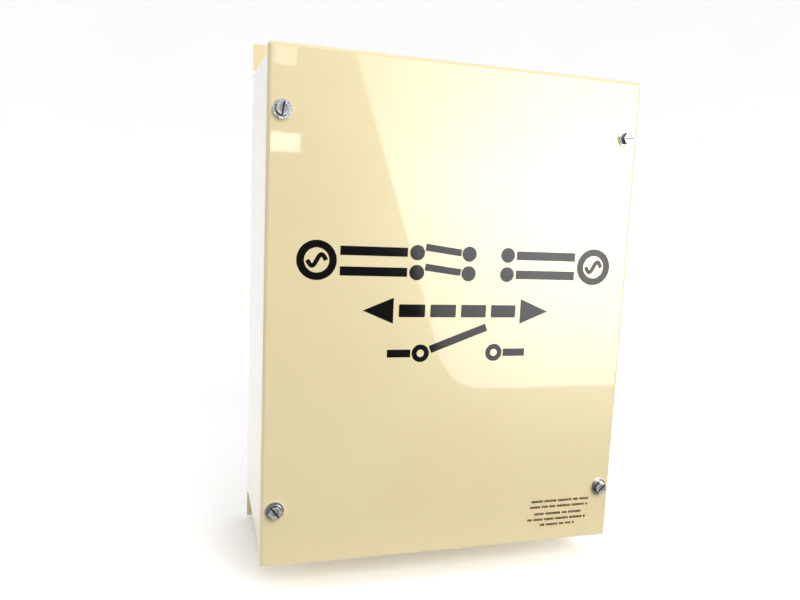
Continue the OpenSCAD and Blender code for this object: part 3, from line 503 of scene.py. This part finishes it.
NODE_FINISH = {
    "back_plate enclosure_wrap cover knockout_slugs": shade_enamel(),
    "cover_screw_1 cover_screw_2 cover_screw_3 cover_screw_4": shade_screw_plate(),
    "cover_washers cover_weld_nuts mechanism_standoffs mechanism_screws terminal_bolts": zinc,
    "mechanism_frame solenoid_frames spring_anchor switch_bracket control_plate "
    "handle_clips": shade_galvanised(),
    "shaft_bushings coil_bobbins": nylon,
    "contact_blocks load_terminal_base": shade_phenolic(),
    "fixed_contact_straps load_straps moving_contacts": shade_copper(),
    "fixed_contact_tips moving_contact_tips": silver,
    "utility_lugs standby_lugs load_lugs": shade_aluminium(),
    "neutral_bar": shade_neutral_bar(),
    "lug_set_screws": black_oxide,
    "arc_chute_walls": shade_fibre(),
    "arc_plates": shade_arc_steel(),
    "rotor_shaft crank solenoid_cores plunger_yoke spring_guide utility_switch_lever "
    "standby_switch_lever relay_armature": steel,
    "contact_carrier relay_socket": black_plastic,
    "operating_lever": shade_red_paint(),
    "relay_cover": shade_clear_cover(),
    "ground_lug": shade_green_screw_brass(),
    "wiring_diagram": shade_paper(),
}


def finish_nodes():
    for names, mat in NODE_FINISH.items():
        for name in names.split():
            slots = NODES[name].data.materials
            slots.clear()
            slots.append(mat)


finish_nodes()


# ---- mesh making: outlines in millimetres, meshes in metres ----


def corner(point, height, axis):
    """A point of an outline that lies across an axis, 0 to 2 for X to Z, in metres."""
    a, b = point
    if axis == 0:
        spot = (height, a, b)
    elif axis == 1:
        spot = (a, height, b)
    else:
        spot = (a, b, height)
    return [c * MM for c in spot]


def circle(x, z, radius, count=40, start=0.0, turn=2 * math.pi):
    """Points round a circle, or along an arc of it."""
    steps = count if turn >= 2 * math.pi else count - 1
    angles = [start + turn * k / steps for k in range(count)]
    return [(x + radius * math.cos(a), z + radius * math.sin(a)) for a in angles]


def rounded(x0, z0, x1, z1, radius, count=6):
    """Outline of a rectangle with round corners."""
    middles = ((x1 - radius, z1 - radius, 0.0), (x0 + radius, z1 - radius, 0.5 * math.pi),
               (x0 + radius, z0 + radius, math.pi), (x1 - radius, z0 + radius, 1.5 * math.pi))
    return [p for x, z, a in middles for p in circle(x, z, radius, count, a, 0.5 * math.pi)]


def add_faces(bm, faces, slot):
    for corners in faces:
        bm.faces.new(corners).material_index = slot


def add_prism(bm, outline, low, high, axis=1, slot=0):
    """A flat outline, made solid between two heights along an axis."""
    ends = [[bm.verts.new(corner(p, h, axis)) for p in outline] for h in (low, high)]
    count = len(outline)
    sides = [(ends[0][i], ends[1][i], ends[1][(i + 1) % count], ends[0][(i + 1) % count])
             for i in range(count)]
    add_faces(bm, [ends[0], ends[1][::-1], *sides], slot)


def add_box(bm, low, high, slot=0):
    (x0, y0, z0), (x1, y1, z1) = low, high
    add_prism(bm, [(x0, z0), (x1, z0), (x1, z1), (x0, z1)], y0, y1, 1, slot)


def add_loops(bm, loops, closed, slot):
    """Joins rings of points, in metres, into a skin; an open run gets a cap at each end."""
    rings = [[bm.verts.new(p) for p in loop] for loop in loops]
    following = rings[1:] + rings[:1] if closed else rings[1:]
    for a, b in zip(rings, following):
        for k in range(max(len(a), len(b))):
            quad = (a[k % len(a)], a[(k + 1) % len(a)], b[(k + 1) % len(b)], b[k % len(b)])
            add_faces(bm, [list(dict.fromkeys(quad))], slot)
    if not closed:
        add_faces(bm, [ring for ring in (rings[0][::-1], rings[-1]) if len(ring) > 2], slot)


def add_lathe(bm, profile, middle, axis=1, slot=0, closed=False, count=40):
    """Turns (radius, height) points, in millimetres, round an axis through a middle point."""
    loops = []
    for radius, height in profile:
        ring = circle(0.0, 0.0, radius, count) if radius > 0 else [(0.0, 0.0)]
        loops.append([Vector(corner(p, height, axis)) + Vector(middle) * MM for p in ring])
    add_loops(bm, loops, closed, slot)


def add_ribbon(bm, points, width, low, high, axis=1, closed=False, slot=0):
    """A band of constant width along an outline's points, made solid between two heights."""
    spots = [Vector(p) for p in points]
    last = len(spots) - 1
    loops = []
    for i, spot in enumerate(spots):
        before = spots[i - 1] if i or closed else spot
        after = spots[(i + 1) % len(spots)] if i < last or closed else spot
        arriving = (spot - before).normalized()
        leaving = (after - spot).normalized()
        along = (arriving + leaving).normalized()
        mitre = max(0.5, along.dot(leaving if leaving.length else arriving))
        side = Vector((-along.y, along.x)) * width / 2 / mitre
        edges = ((spot + side, low), (spot - side, low), (spot - side, high), (spot + side, high))
        loops.append([corner(p, h, axis) for p, h in edges])
    add_loops(bm, loops, closed, slot)


def add_tube(bm, path, radius, slot=0, sides=14):
    """A round tube along points in metres, without twist."""
    spots = [Vector(p) for p in path]
    last = len(spots) - 1
    loops = []
    across = Vector((0.32, 0.21, 0.92))
    for i, spot in enumerate(spots):
        along = (spots[min(i + 1, last)] - spots[max(i - 1, 0)]).normalized()
        across = (across - along * across.dot(along)).normalized()
        other = along.cross(across)
        loops.append([spot + (across * x + other * y) * MM for x, y in circle(0, 0, radius, sides)])
    add_loops(bm, loops, False, slot)


def add_screw(bm, x, y, z, radius, angle, slot=0):
    """A slotted pan head on the plane y, towards -Y."""
    low, high, slit = 0.55 * radius, 1.15 * radius, 0.2 * radius
    add_lathe(bm, [(0, 0), (radius, 0), (radius, -low), (0, -low)], (x, y, z), 1, slot, count=28)
    lean = math.asin(slit / radius)
    for half in (0.0, math.pi):
        arc = circle(x, z, 0.93 * radius, 14, angle + half + lean, math.pi - 2 * lean)
        add_prism(bm, arc, y - high, y - low, 1, slot)


def link_mesh(name, bm, mats):
    """Puts a finished mesh and its materials into the scene as an object."""
    mesh = bpy.data.meshes.new(name)
    bm.to_mesh(mesh)
    bm.free()
    for mat in mats:
        mesh.materials.append(mat)
    thing = bpy.data.objects.new(name, mesh)
    bpy.context.scene.collection.objects.link(thing)
    return thing


def make_piece(name, bm, mats, body, nodes=(), bevel=0.0, smooth=38.0):
    """A piece of the object: smooth faces between hard edges, and its place in the frame."""
    bmesh.ops.recalc_face_normals(bm, faces=bm.faces)
    piece = link_mesh(name, bm, mats)
    mesh = piece.data
    mesh.polygons.foreach_set("use_smooth", [True] * len(mesh.polygons))
    mesh.set_sharp_from_angle(angle=math.radians(smooth))
    if bevel:
        edge = piece.modifiers.new("edges", "BEVEL")
        edge.width = bevel * MM
        edge.segments = 2
        edge.limit_method = "ANGLE"
        edge.angle_limit = math.radians(40)
        edge.harden_normals = True
    if body:
        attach(piece, body)
    if nodes:
        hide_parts(*nodes)
    return piece


# ---- printing on the cover ----

FRONT = front_y / MM
INK = (FRONT - 0.09, FRONT + 0.05)


def sine_points(x, z, half, rise, count=25):
    steps = [2 * k / (count - 1) - 1 for k in range(count)]
    return [(x + half * t, z + rise * math.sin(math.pi * t)) for t in steps]


def print_changeover():
    """A wide one-line diagram: two sources, two poles closed on the left and open on the right."""
    bm = bmesh.new()
    middle_x, middle_z, pole = 3.0, 44.5, 8.0
    source_x, source_r, line = 119.0, 12.6, 5.8
    lead_start, lead_end, lead_w = 47.0, 101.0, 7.2
    dot_x, dot_r = 39.0, 6.2
    for side in (-1, 1):
        x = middle_x + side * source_x
        add_ribbon(bm, circle(x, middle_z, source_r, 64), line, *INK, closed=True)
        add_ribbon(bm, sine_points(x, middle_z, 7.2, 4.4), 3.4, *INK)
        for z in (middle_z - pole, middle_z + pole):
            add_ribbon(bm, [(middle_x + side * x, z) for x in (lead_start, lead_end)], lead_w, *INK)
            add_prism(bm, circle(middle_x + side * dot_x, z, dot_r), *INK)
    for z in (middle_z - pole, middle_z + pole):
        add_prism(bm, circle(middle_x + 5.0, z, dot_r), *INK)
        add_ribbon(bm, [(middle_x - 1.8, z + 0.8), (middle_x - 32.2, z + 4.6)], 5.6, *INK)
    make_piece("changeover_print", bm, [ink], "cover")


def print_arrow():
    """A heavy double-headed arrow with a dashed shaft."""
    bm = bmesh.new()
    middle_x, middle_z, tip, head, half_h = 1.0, 5.5, 80.0, 25.0, 10.5
    for side in (-1, 1):
        point, neck = middle_x + side * tip, middle_x + side * (tip - head)
        add_prism(bm, [(point, middle_z), (neck, middle_z + half_h), (neck, middle_z - half_h)], *INK)
    dashes, gap = 4, 4.5
    length = (2 * (tip - head) - (dashes + 1) * gap) / dashes
    for k in range(dashes):
        x = middle_x - tip + head + gap + k * (length + gap)
        add_prism(bm, rounded(x, middle_z - 5.2, x + length, middle_z + 5.2, 0.8), *INK)
    make_piece("transfer_arrow_print", bm, [ink], "cover")


def print_switch():
    """An open switch: two ringed terminals, their leads and a raised blade."""
    bm = bmesh.new()
    middle_x, z, ring_x, ring_r = 2.0, -29.5, 32.0, 5.2
    for side in (-1, 1):
        x = middle_x + side * ring_x
        add_ribbon(bm, circle(x, z, ring_r, 48), 4.2, *INK, closed=True)
        add_ribbon(bm, [(x + side * 8.4, z), (x + side * 28.0, z)], 6.4, *INK)
    angle = math.radians(21)
    start, end = 8.6, 60.0
    spots = [(middle_x - ring_x + r * math.cos(angle), z + r * math.sin(angle)) for r in (start, end)]
    add_ribbon(bm, spots, 6.4, *INK)
    make_piece("switch_print", bm, [ink], "cover")


def make_label():
    """A clear sticker at the lower right, with five rows of plain small marks."""
    x0, x1, z0, z1 = 77.0, 136.5, -192.5, -160.5
    bm = bmesh.new()
    add_prism(bm, rounded(x0, z0, x1, z1, 1.0), FRONT - 0.07, FRONT + 0.05)
    make_piece("label_film", bm, [film], "cover")
    dice = random.Random(11)
    bm = bmesh.new()
    mark_h, mark_gap, word_gap = 2.1, 0.42, 1.7
    rows = ((-3.9, 0.5, 56.5), (-9.1, -0.5, 57.0), (-15.6, -1.0, 47.0), (-20.8, -2.0, 57.5),
            (-25.9, -1.5, 34.0))
    for drop, shift, length in rows:
        x = (x0 + x1 - length) / 2 + shift
        end = x + length
        left_in_word = dice.randint(3, 7)
        while x < end - 0.6:
            width = min(dice.uniform(0.9, 1.7), end - x)
            z = z1 + drop
            add_prism(bm, [(x, z - mark_h), (x + width, z - mark_h), (x + width, z), (x, z)],
                      FRONT - 0.12, FRONT - 0.06)
            left_in_word -= 1
            x += width + (mark_gap if left_in_word else word_gap)
            left_in_word = left_in_word or dice.randint(3, 8)
    make_piece("label_marks", bm, [ink], "cover")


def print_inside_diagram():
    """Plain line drawing of the circuit on the sheet inside the cover."""
    bm = bmesh.new()
    low = FRONT + 1.63
    high = low + 0.06
    for x0, z0, x1, z1 in ((-80, -80, 80, 120), (-60, 70, -30, 95), (30, 70, 60, 95), (-20, 10, 20, 40),
                           (-60, -60, -30, -35), (30, -60, 60, -35)):
        frame_line = [(x0, z0), (x1, z0), (x1, z1), (x0, z1)]
        add_ribbon(bm, frame_line, 0.8, low, high, closed=True)
    wires = (((-45, 69), (-45, 25), (-21, 25)), ((45, 69), (45, 25), (21, 25)),
             ((-10, 9), (-10, -20), (-45, -20), (-45, -34)), ((10, 9), (10, -20), (45, -20), (45, -34)),
             ((-70, -72), (70, -72)), ((-70, 110), (70, 110)), ((-70, 105), (40, 105)))
    for wire in wires:
        add_ribbon(bm, wire, 0.7, low, high)
    for x, z in ((-45, 82.5), (45, 82.5)):
        add_ribbon(bm, circle(x, z, 7.0, 32), 0.8, low, high, closed=True)
        add_ribbon(bm, sine_points(x, z, 4.0, 2.4), 0.7, low, high)
    make_piece("inside_diagram_print", bm, [ink], "cover")


print_changeover()
print_arrow()
print_switch()
make_label()
print_inside_diagram()


# ---- solenoids ----

SHAFT_Y = -75.0
PIVOT_Y = -135.0
CRANK_R = 22.0
SWING = math.radians(25)
COIL_X = 43.0
COIL_Y = SHAFT_Y - CRANK_R * (1 + math.cos(SWING)) / 2
COIL_LOW = 29.55
COIL_HIGH = 78.45


def make_coil(name, up):
    """A winding: turns of wire that show at both ends of a wrap of yellow tape."""
    bm = bmesh.new()
    bore_r, valley_r, crest_r, turns = 8.05, 13.75, 14.2, 44
    pitch = (COIL_HIGH - COIL_LOW) / turns
    outer = []
    for k in range(turns):
        z = COIL_LOW + k * pitch
        outer += [(valley_r, z + 0.02 * pitch), (crest_r, z + 0.3 * pitch), (crest_r, z + 0.7 * pitch)]
    profile = [(bore_r, COIL_LOW), *outer, (valley_r, COIL_HIGH), (bore_r, COIL_HIGH)]
    add_lathe(bm, [(r, up * z) for r, z in profile], (COIL_X, COIL_Y, 0), 2, 0, closed=True, count=56)
    tape_low, tape_high, wraps = COIL_LOW + 6.0, COIL_HIGH - 6.0, 5
    inner_r, tape_r, lap_r = 14.0, 14.34, 14.5
    steps = []
    for k in range(wraps):
        z = tape_low + (tape_high - tape_low) * k / wraps
        steps += [(tape_r, z), (lap_r, z + 0.3)]
    tape = [(inner_r, tape_low), *steps, (tape_r, tape_high), (inner_r, tape_high)]
    add_lathe(bm, [(r, up * z) for r, z in tape], (COIL_X, COIL_Y, 0), 2, 1, closed=True, count=56)
    make_piece(name, bm, [magnet_wire, coil_tape], "enclosure",
               [name.replace("_winding", "_coil")])


make_coil("utility_winding", 1)
make_coil("standby_winding", -1)


# ---- braids between the fixed load straps and the moving arms ----

BRAID_ROUTE = ((-98.8, 5.6), (-97.5, -2), (-94, -9), (-88, -14.5), (-80, -17), (-70, -17.5), (-60, -16),
               (-53, -13.5), (-49.6, -13))


def smooth_path(points, steps):
    """Points of a smooth curve through the given ones."""
    spots = [Vector(p) for p in points]
    last = len(spots) - 1
    path = []
    for i in range(last):
        a, b, c, d = spots[max(i - 1, 0)], spots[i], spots[i + 1], spots[min(i + 2, last)]
        for k in range(steps):
            t = k / steps
            path.append(0.5 * (2 * b + (c - a) * t + (2 * a - 5 * b + 4 * c - d) * t * t
                               + (3 * b - a - 3 * c + d) * t ** 3))
    return path + [spots[-1]]


def make_braid(name, x, nodes):
    """A flat plaited strap whose strands cross over each other on both faces."""
    route = smooth_path(BRAID_ROUTE, 26)
    half_w, half_t, strand, rise, across = 5.0, 0.88, 2.5, 0.3, 22
    bm = bmesh.new()
    loops = []
    length = 0.0
    last = len(route) - 1
    for i, spot in enumerate(route):
        if i:
            length += (spot - route[i - 1]).length
        along = (route[min(i + 1, last)] - route[max(i - 1, 0)]).normalized()
        up = Vector((-along.y, along.x))
        loop = []
        for face in (1, -1):
            for k in range(across + 1):
                v = face * half_w * (2 * k / across - 1)
                edge = math.sqrt(max(0.0, 1 - (v / half_w) ** 6))
                plait = math.sin(math.pi * (length + v) / strand) * math.sin(math.pi * (length - v) / strand)
                height = face * edge * (half_t + rise * abs(plait) - 0.12)
                spread = half_w - 0.06 if abs(v) > half_w - 0.01 else abs(v)
                point = spot + up * height
                loop.append(Vector((x + math.copysign(spread, v), point.x, point.y)) * MM)
        loops.append(loop)
    add_loops(bm, loops, False, 0)
    piece = make_piece(name, bm, [braid_wire], None, nodes, smooth=70.0)
    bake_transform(piece)


make_braid("braid_left", -42.0, ["braids"])
make_braid("braid_right", 0.0, [])


# ---- over-centre spring ----


def make_spring():
    """A helical spring with closed ends, on the guide's rod, which leans from the pivot to the crank pin."""
    pivot = Vector((34.5, PIVOT_Y, 0.0))
    rise = math.atan2(CRANK_R * math.sin(SWING), SHAFT_Y - PIVOT_Y - CRANK_R * math.cos(SWING))
    along = Vector((0.0, math.cos(rise), math.sin(rise)))
    up = Vector((0.0, -math.sin(rise), math.cos(rise)))
    turns, radius, wire_r, low, high, steps = 8, 3.9, 0.6, 6.05, 25.35, 40
    bm = bmesh.new()
    path = []
    for i in range(turns * steps + 1):
        turn = i / steps
        share = min(max((turn - 0.8) / (turns - 1.6), 0.0), 1.0)
        angle = 2 * math.pi * turn
        height = low + (high - low) * share + 0.25 * (turn / turns - 0.5)
        path.append((pivot + along * height + up * radius * math.sin(angle)
                     + Vector((radius * math.cos(angle), 0, 0))) * MM)
    add_tube(bm, path, wire_r, 0, 10)
    make_piece("over_centre_spring", bm, [black_oxide], "spring_guide", ["spring"])


make_spring()


# ---- control wires ----

WIRE_ROUTES = (
    ("blue", ((50, -98, 86), (56, -95, 92), (64, -82, 96), (72, -62, 98), (84, -48, 100), (101, -40, 99.8))),
    ("yellow", ((50, -98, -86), (57, -94, -93), (66, -78, -95), (74, -54, -88), (80, -36, -60),
                (81, -32, 0), (82, -32, 40), (86, -36, 54), (94, -38.5, 57.5), (101, -38.5, 59))),
    ("white", ((63.7, -96, 39), (66, -92, 44), (70, -76, 44), (73, -56, 30), (75, -45, 0),
               (77, -42, -30), (84, -37, -36), (93, -35, -39))),
    ("black", ((63.7, -96, -39), (66, -90, -43), (71, -74, -44), (76, -56, -50), (82, -46, -66),
               (92, -40, -70), (105, -36, -66))),
    ("red", ((100, -37, -6), (100, -42, -14), (103, -42, -26), (105, -36, -37.5))),
    ("red", ((115, -37, -6), (115, -42, -14), (115, -42, -26), (115, -36, -37.5))),
    ("red", ((130, -37, -6), (130, -42, -14), (127, -42, -26), (125, -36, -37.5))),
)


def make_wires():
    bm = bmesh.new()
    colours = list(INSULATION)
    wire_r, sleeve_r, steps = 1.3, 1.62, 8
    for colour, route in WIRE_ROUTES:
        path = [p * MM for p in smooth_path(route, steps)]
        add_tube(bm, path, wire_r, colours.index(colour))
        for end in (path[:5], path[-5:]):
            add_tube(bm, end, sleeve_r, len(colours))
    mats = [*INSULATION.values(), zinc]
    make_piece("control_wiring", bm, mats, "enclosure", ["control_wires"])


make_wires()


# ---- limit switches ----


def make_switches():
    """Two snap-action switches: case halves, fixing screws, tabs, button and the lever's pin."""
    bm = bmesh.new()
    for up in (1, -1):
        def box(x0, y0, z0, x1, y1, z1, slot=0):
            low, high = sorted((up * z0, up * z1))
            add_box(bm, (x0, y0, low), (x1, y1, high), slot)

        box(60.0, -110, 16, 63.65, -84, 32)
        box(63.8, -110, 16, 67.5, -84, 32)
        box(60.4, -109.6, 16.3, 67.1, -84.4, 31.7)
        box(60.0, -84, 16, 67.5, -82.6, 19)
        for x in (60.0, 66.6):
            box(x, -86.5, 11.6, x + 0.9, -82.6, 16)
        pin = [(0, 60.05), (0.8, 60.05), (0.8, 67.45), (0, 67.45)]
        add_lathe(bm, pin, (0, -84.5, up * 13.2), 0, 1, count=20)
        add_lathe(bm, [(1.2, up * 13.4), (1.2, up * 16.1)], (63.75, -92, 0), 2, 2, count=20)
        rivet = [(0, 67.4), (1.9, 67.4), (1.9, 67.9), (1.4, 68.3), (0, 68.4)]
        for y in (-105, -89):
            add_lathe(bm, rivet, (0, y, up * 26), 0, 1, count=24)
        for y in (-106, -98, -90):
            box(63.45, y, 32, 64.05, y + 4, 37, 1)
    make_piece("snap_switches", bm, [black_plastic, zinc, red_button], "enclosure",
               ["limit_switches"], bevel=0.25)


make_switches()


# ---- control relay, fuses and terminal strip ----

RELAY_X = 115.0
RELAY_Z = 80.0


def make_relay():
    """The works under the relay's clear cover: base, magnet frame, bobbin, winding, blades and contacts."""
    bm = bmesh.new()
    x, z = RELAY_X, RELAY_Z
    add_prism(bm, rounded(x - 15, z - 15, x + 15, z + 15, 1.5), -46, -42, 1, 0)
    add_box(bm, (x - 10, -48, z - 12), (x + 10, -46, z + 13), 1)
    add_box(bm, (x - 10, -82, z + 11.5), (x + 10, -48, z + 13), 1)
    for low, high in ((-49.5, -48.0), (-80.0, -78.5)):
        add_lathe(bm, [(0, low), (9.6, low), (9.6, high), (0, high)], (x, 0, z), 1, 2)
    turns, pitch = 32, 0.9
    wound = [(8.6 + 0.25 * (k % 2), -78.5 + k * pitch / 2) for k in range(2 * turns + 1)]
    add_lathe(bm, [(0, -78.5), *wound, (0, wound[-1][1])], (x, 0, z), 1, 3)
    add_lathe(bm, [(0, -81.2), (3.6, -81.2), (4, -80.9), (4, -80.0), (0, -80.0)], (x, 0, z), 1, 1)
    for side in (-1, 1):
        blade_x = x + side * 12.5
        add_box(bm, (blade_x - 0.4, -78, z - 12), (blade_x + 0.4, -46, z - 6), 4)
        add_lathe(bm, [(0, -1.6), (1.5, -1.6), (1.8, -1.3), (1.8, 1.3), (1.5, 1.6), (0, 1.6)],
                  (blade_x, -75, z - 9), 0, 5, count=24)
    mats = [black_plastic, steel, nylon, magnet_wire, brass, silver]
    make_piece("relay_inner_works", bm, mats, "enclosure", ["relay_works"], bevel=0.2)


def make_fuses():
    """Ceramic fuses with rolled nickel caps, in spring clips on a black base with barriers."""
    fuse_y, radius, pitch = -42.0, 3.2, 15.0
    fuses = bmesh.new()
    block = bmesh.new()
    half_w = 3 * pitch / 2 + 1
    add_box(block, (RELAY_X - half_w, -33, -4), (RELAY_X + half_w, -21, 44))
    for k in range(4):
        x = RELAY_X + (k - 1.5) * pitch
        add_box(block, (x - 0.8, -44, 2), (x + 0.8, -33, 38))
    for k in range(3):
        x = RELAY_X + (k - 1) * pitch
        add_lathe(fuses, [(2.75, 4.5), (2.75, 35.5)], (x, fuse_y, 0), 2, 0)
        for z, up in ((4.0, 1), (36.0, -1)):
            cap = [(0, 0), (2.7, 0), (3.05, 0.25), (radius, 0.7), (radius, 5.6), (3.0, 5.9), (3.1, 6.2),
                   (2.85, 6.5), (0, 6.5)]
            add_lathe(fuses, [(r, z + up * h) for r, h in cap], (x, fuse_y, 0), 2, 1)
        for z in (6.0, 29.0):
            arc = circle(x, fuse_y, radius + 0.37, 25, math.radians(-52), math.radians(284))
            lips = [(arc[0][0] + 0.9, arc[0][1] - 1.0), *arc, (arc[-1][0] - 0.9, arc[-1][1] - 1.0)]
            add_ribbon(block, lips, 0.5, z, z + 5, 2, slot=1)
            add_box(block, (x - 2.4, -38.2, z), (x + 2.4, -33, z + 5), 1)
            add_screw(block, x, -33, z - 3.0 if z < 20 else z + 8.0, 1.9, 0.5 * k + 0.1 * z, 2)
    make_piece("cartridge_fuses", fuses, [ceramic, zinc], "enclosure", ["fuses"])
    make_piece("fuse_holder", block, [black_plastic, brass, zinc], "enclosure",
               ["fuse_block"], bevel=0.3)


def make_strip():
    """Barrier terminal strip: moulded body, plated links and slotted screws."""
    pitch, count, middle_z, row = 10.0, 5, -52.0, 5.5
    half_w = count * pitch / 2
    bm = bmesh.new()
    add_box(bm, (RELAY_X - half_w - 2, -31, -64), (RELAY_X + half_w + 2, -21, -40))
    for k in range(count + 1):
        x = RELAY_X - half_w + k * pitch
        add_box(bm, (x - 1, -39, -62), (x + 1, -31, -42))
    dice = random.Random(5)
    for k in range(count):
        x = RELAY_X - half_w + (k + 0.5) * pitch
        add_box(bm, (x - 3.6, -31.9, middle_z - row - 4), (x + 3.6, -31, middle_z + row + 4), 1)
        for side in (-1, 1):
            add_screw(bm, x, -31.9, middle_z + side * row, 3.1, dice.uniform(0, math.pi), 2)
    make_piece("barrier_strip", bm, [black_plastic, brass, zinc], "enclosure",
               ["terminal_strip"], bevel=0.3)


make_relay()
make_fuses()
make_strip()


# ---- manual handle ----


def make_handle():
    """A steel rod with a chamfered end and a ribbed rubber grip."""
    bm = bmesh.new()
    middle = (0, -40, 152)
    rod = [(0, 24), (4.2, 24), (5, 24.8), (5, 95)]
    add_lathe(bm, [*rod, (0, 95)], middle, 0, 0)
    ribs = []
    for k in range(6):
        x = 97.5 + 5.4 * k
        ribs += [(8.5, x), (8.5, x + 3.2), (7.8, x + 3.7), (7.8, x + 4.9)]
    grip = [(5.05, 92), (7.6, 92), (8.2, 92.4), (8.5, 93.2), *ribs, (8.5, 129.9), (8.3, 131.0), (7.4, 131.8),
            (5.0, 132), (0, 132)]
    add_lathe(bm, [(0, 92), *grip], middle, 0, 1)
    make_piece("crank_handle", bm, [steel, rubber], "manual_handle", ["manual_handle"])


make_handle()


# ---- stage ----

RAYS = ("camera", "diffuse", "glossy", "transmission", "volume_scatter")
WHITE = (1.0, 1.0, 1.0, 1.0)
CARD_Y = -0.72


def show_only_to(thing, ray, shadow):
    """Lets one kind of ray see an object, and shadow rays too if asked."""
    for kind in RAYS:
        setattr(thing, "visible_" + kind, kind == ray)
    thing.visible_shadow = shadow


def area_light(name, place, target, size, energy, ray):
    """A rectangular softbox that only one kind of ray sees."""
    data = bpy.data.lights.new(name, "AREA")
    data.shape = "RECTANGLE"
    data.size, data.size_y = size
    data.energy = energy
    lamp = bpy.data.objects.new(name, data)
    lamp.location = place
    lamp.rotation_euler = (Vector(target) - Vector(place)).to_track_quat("-Z", "Y").to_euler()
    show_only_to(lamp, ray, True)
    bpy.context.scene.collection.objects.link(lamp)
    return lamp


def make_cove():
    """Pale paper, a round floor that curves up into a wall; only the camera sees its front half."""
    floor_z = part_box("back_plate")[0].z - 0.002
    middle_y, cut_y, wall_r, curve_r, top, steps, count = -0.25, -0.19, 3.2, 1.4, 2.6, 12, 96
    line = [(0.5, 0.0), (1.1, 0.0)]
    for i in range(steps + 1):
        a = math.pi / 2 * i / steps
        line.append((wall_r - curve_r + curve_r * math.sin(a), curve_r - curve_r * math.cos(a)))
    line.append((wall_r, top))
    s = Shade("cove_paper", Roughness=0.9, Emission_Color=WHITE, Emission_Strength=0.13)
    paper_mat = s.put(Base_Color=s.mix(s.noise(3.0), (0.90, 0.90, 0.905), (0.87, 0.87, 0.88)))
    halves = []
    for name, keep_front in (("cove_back", False), ("cove_front", True)):
        bm = bmesh.new()
        rings = [[bm.verts.new((0.0, middle_y, floor_z))]]
        for radius, z in line:
            ring = circle(0.0, middle_y, radius, count)
            rings.append([bm.verts.new((x, y, floor_z + z)) for x, y in ring])
        for low, high in zip(rings, rings[1:]):
            for i in range(count):
                j = (i + 1) % count
                corners = (low[0], high[i], high[j]) if len(low) == 1 else (low[i], high[i], high[j], low[j])
                bm.faces.new(corners)
        bmesh.ops.bisect_plane(bm, geom=bm.verts[:] + bm.edges[:] + bm.faces[:], plane_co=(0.0, cut_y, 0.0),
                               plane_no=(0.0, 1.0, 0.0), clear_outer=keep_front, clear_inner=not keep_front)
        for face in bm.faces:
            face.smooth = True
        half = link_mesh(name, bm, [paper_mat])
        halves.append(half)
    show_only_to(halves[1], "camera", False)
    return halves


def make_window():
    """A bright card behind the camera, mirrored in the cover, with a leaning left edge and a round corner.

    Its place and lean are rounded from a mapping of the photograph's highlight back to the card's plane.
    """
    low, high, left, right, lean, radius, steps = -0.2, 0.4, 0.18, 0.95, 1 / 3, 0.06, 8
    foot = Vector((left, low))
    up_edge = foot + Vector((-lean, 1.0)).normalized() * radius
    along_edge = foot + Vector((radius, 0.0))
    outline = [(left - lean * (high - low), high)]
    for k in range(steps + 1):
        t = k / steps
        outline.append((1 - t) ** 2 * up_edge + 2 * t * (1 - t) * foot + t * t * along_edge)
    outline += [(right, low), (right, high)]
    bm = bmesh.new()
    bm.faces.new([bm.verts.new((x, CARD_Y, z)) for x, z in outline])
    s = Shade("window_glow", Roughness=1.0, Base_Color=(0.0, 0.0, 0.0, 1.0), Emission_Color=WHITE)
    rightwards = s.span(s.along(0), 0.02, 0.32, 3.8, 9.0)
    near_foot = s.span(s.along(2), -0.18, 0.10, 0.55, 1.0)
    near_top = s.span(s.along(2), 0.13, 0.27, 1.0, 0.75)
    glow = s.maths("MULTIPLY", rightwards, s.maths("MULTIPLY", near_foot, near_top))
    card = link_mesh("window_card", bm, [s.put(Emission_Strength=glow)])
    show_only_to(card, "glossy", False)


def make_world():
    """Studio air: a bright ceiling, dimmer behind the camera and darkest below, for the metal to show."""
    world = bpy.data.worlds.new("studio")
    world.use_nodes = True
    air = Nodes(world.node_tree, "Generated")
    side = air.span(air.along(1), -0.8, -0.1, 0.24, 0.32, "SMOOTHSTEP")
    ceiling = air.span(air.along(2), 0.35, 0.55, 1.0, 2.2, "SMOOTHSTEP")
    ground = air.span(air.along(2), -0.65, -0.25, 0.2, 1.0, "SMOOTHSTEP")
    strength = air.maths("MULTIPLY", air.maths("MULTIPLY", ceiling, ground), side)
    background = air.tree.nodes["Background"]
    air.set(background, "Strength", strength)
    air.set(background, "Color", WHITE)
    bpy.context.scene.world = world


def light_cove(cove):
    """A lamp that lights the paper alone."""
    paper_light = area_light("paper_light", (0.0, -0.5, 2.8), (0.1, 0.3, 0.0), (2.4, 2.0), 28.5, "diffuse")
    only_paper = bpy.data.collections.new("only_paper")
    for half in cove:
        only_paper.objects.link(half)
    paper_light.light_linking.receiver_collection = only_paper


def light_object():
    """A soft key that leaves no glint, and two small lamps that leave only the two glints on the cover."""
    area_light("key", (0.5, -2.3, 1.2), (0.0, -0.1, 0.0), (1.6, 1.6), 63.0, "diffuse")
    glint_x = -0.083
    for name, z, size, energy in (("glint_top", 0.284, (0.030, 0.030), 0.010),
                                  ("glint_side", 0.164, (0.045, 0.026), 0.026)):
        area_light(name, (glint_x, CARD_Y, z), (glint_x, 0.0, z), size, energy, "glossy")


light_cove(make_cove())
make_window()
make_world()
light_object()
bpy.context.scene.view_settings.view_transform = "Standard"
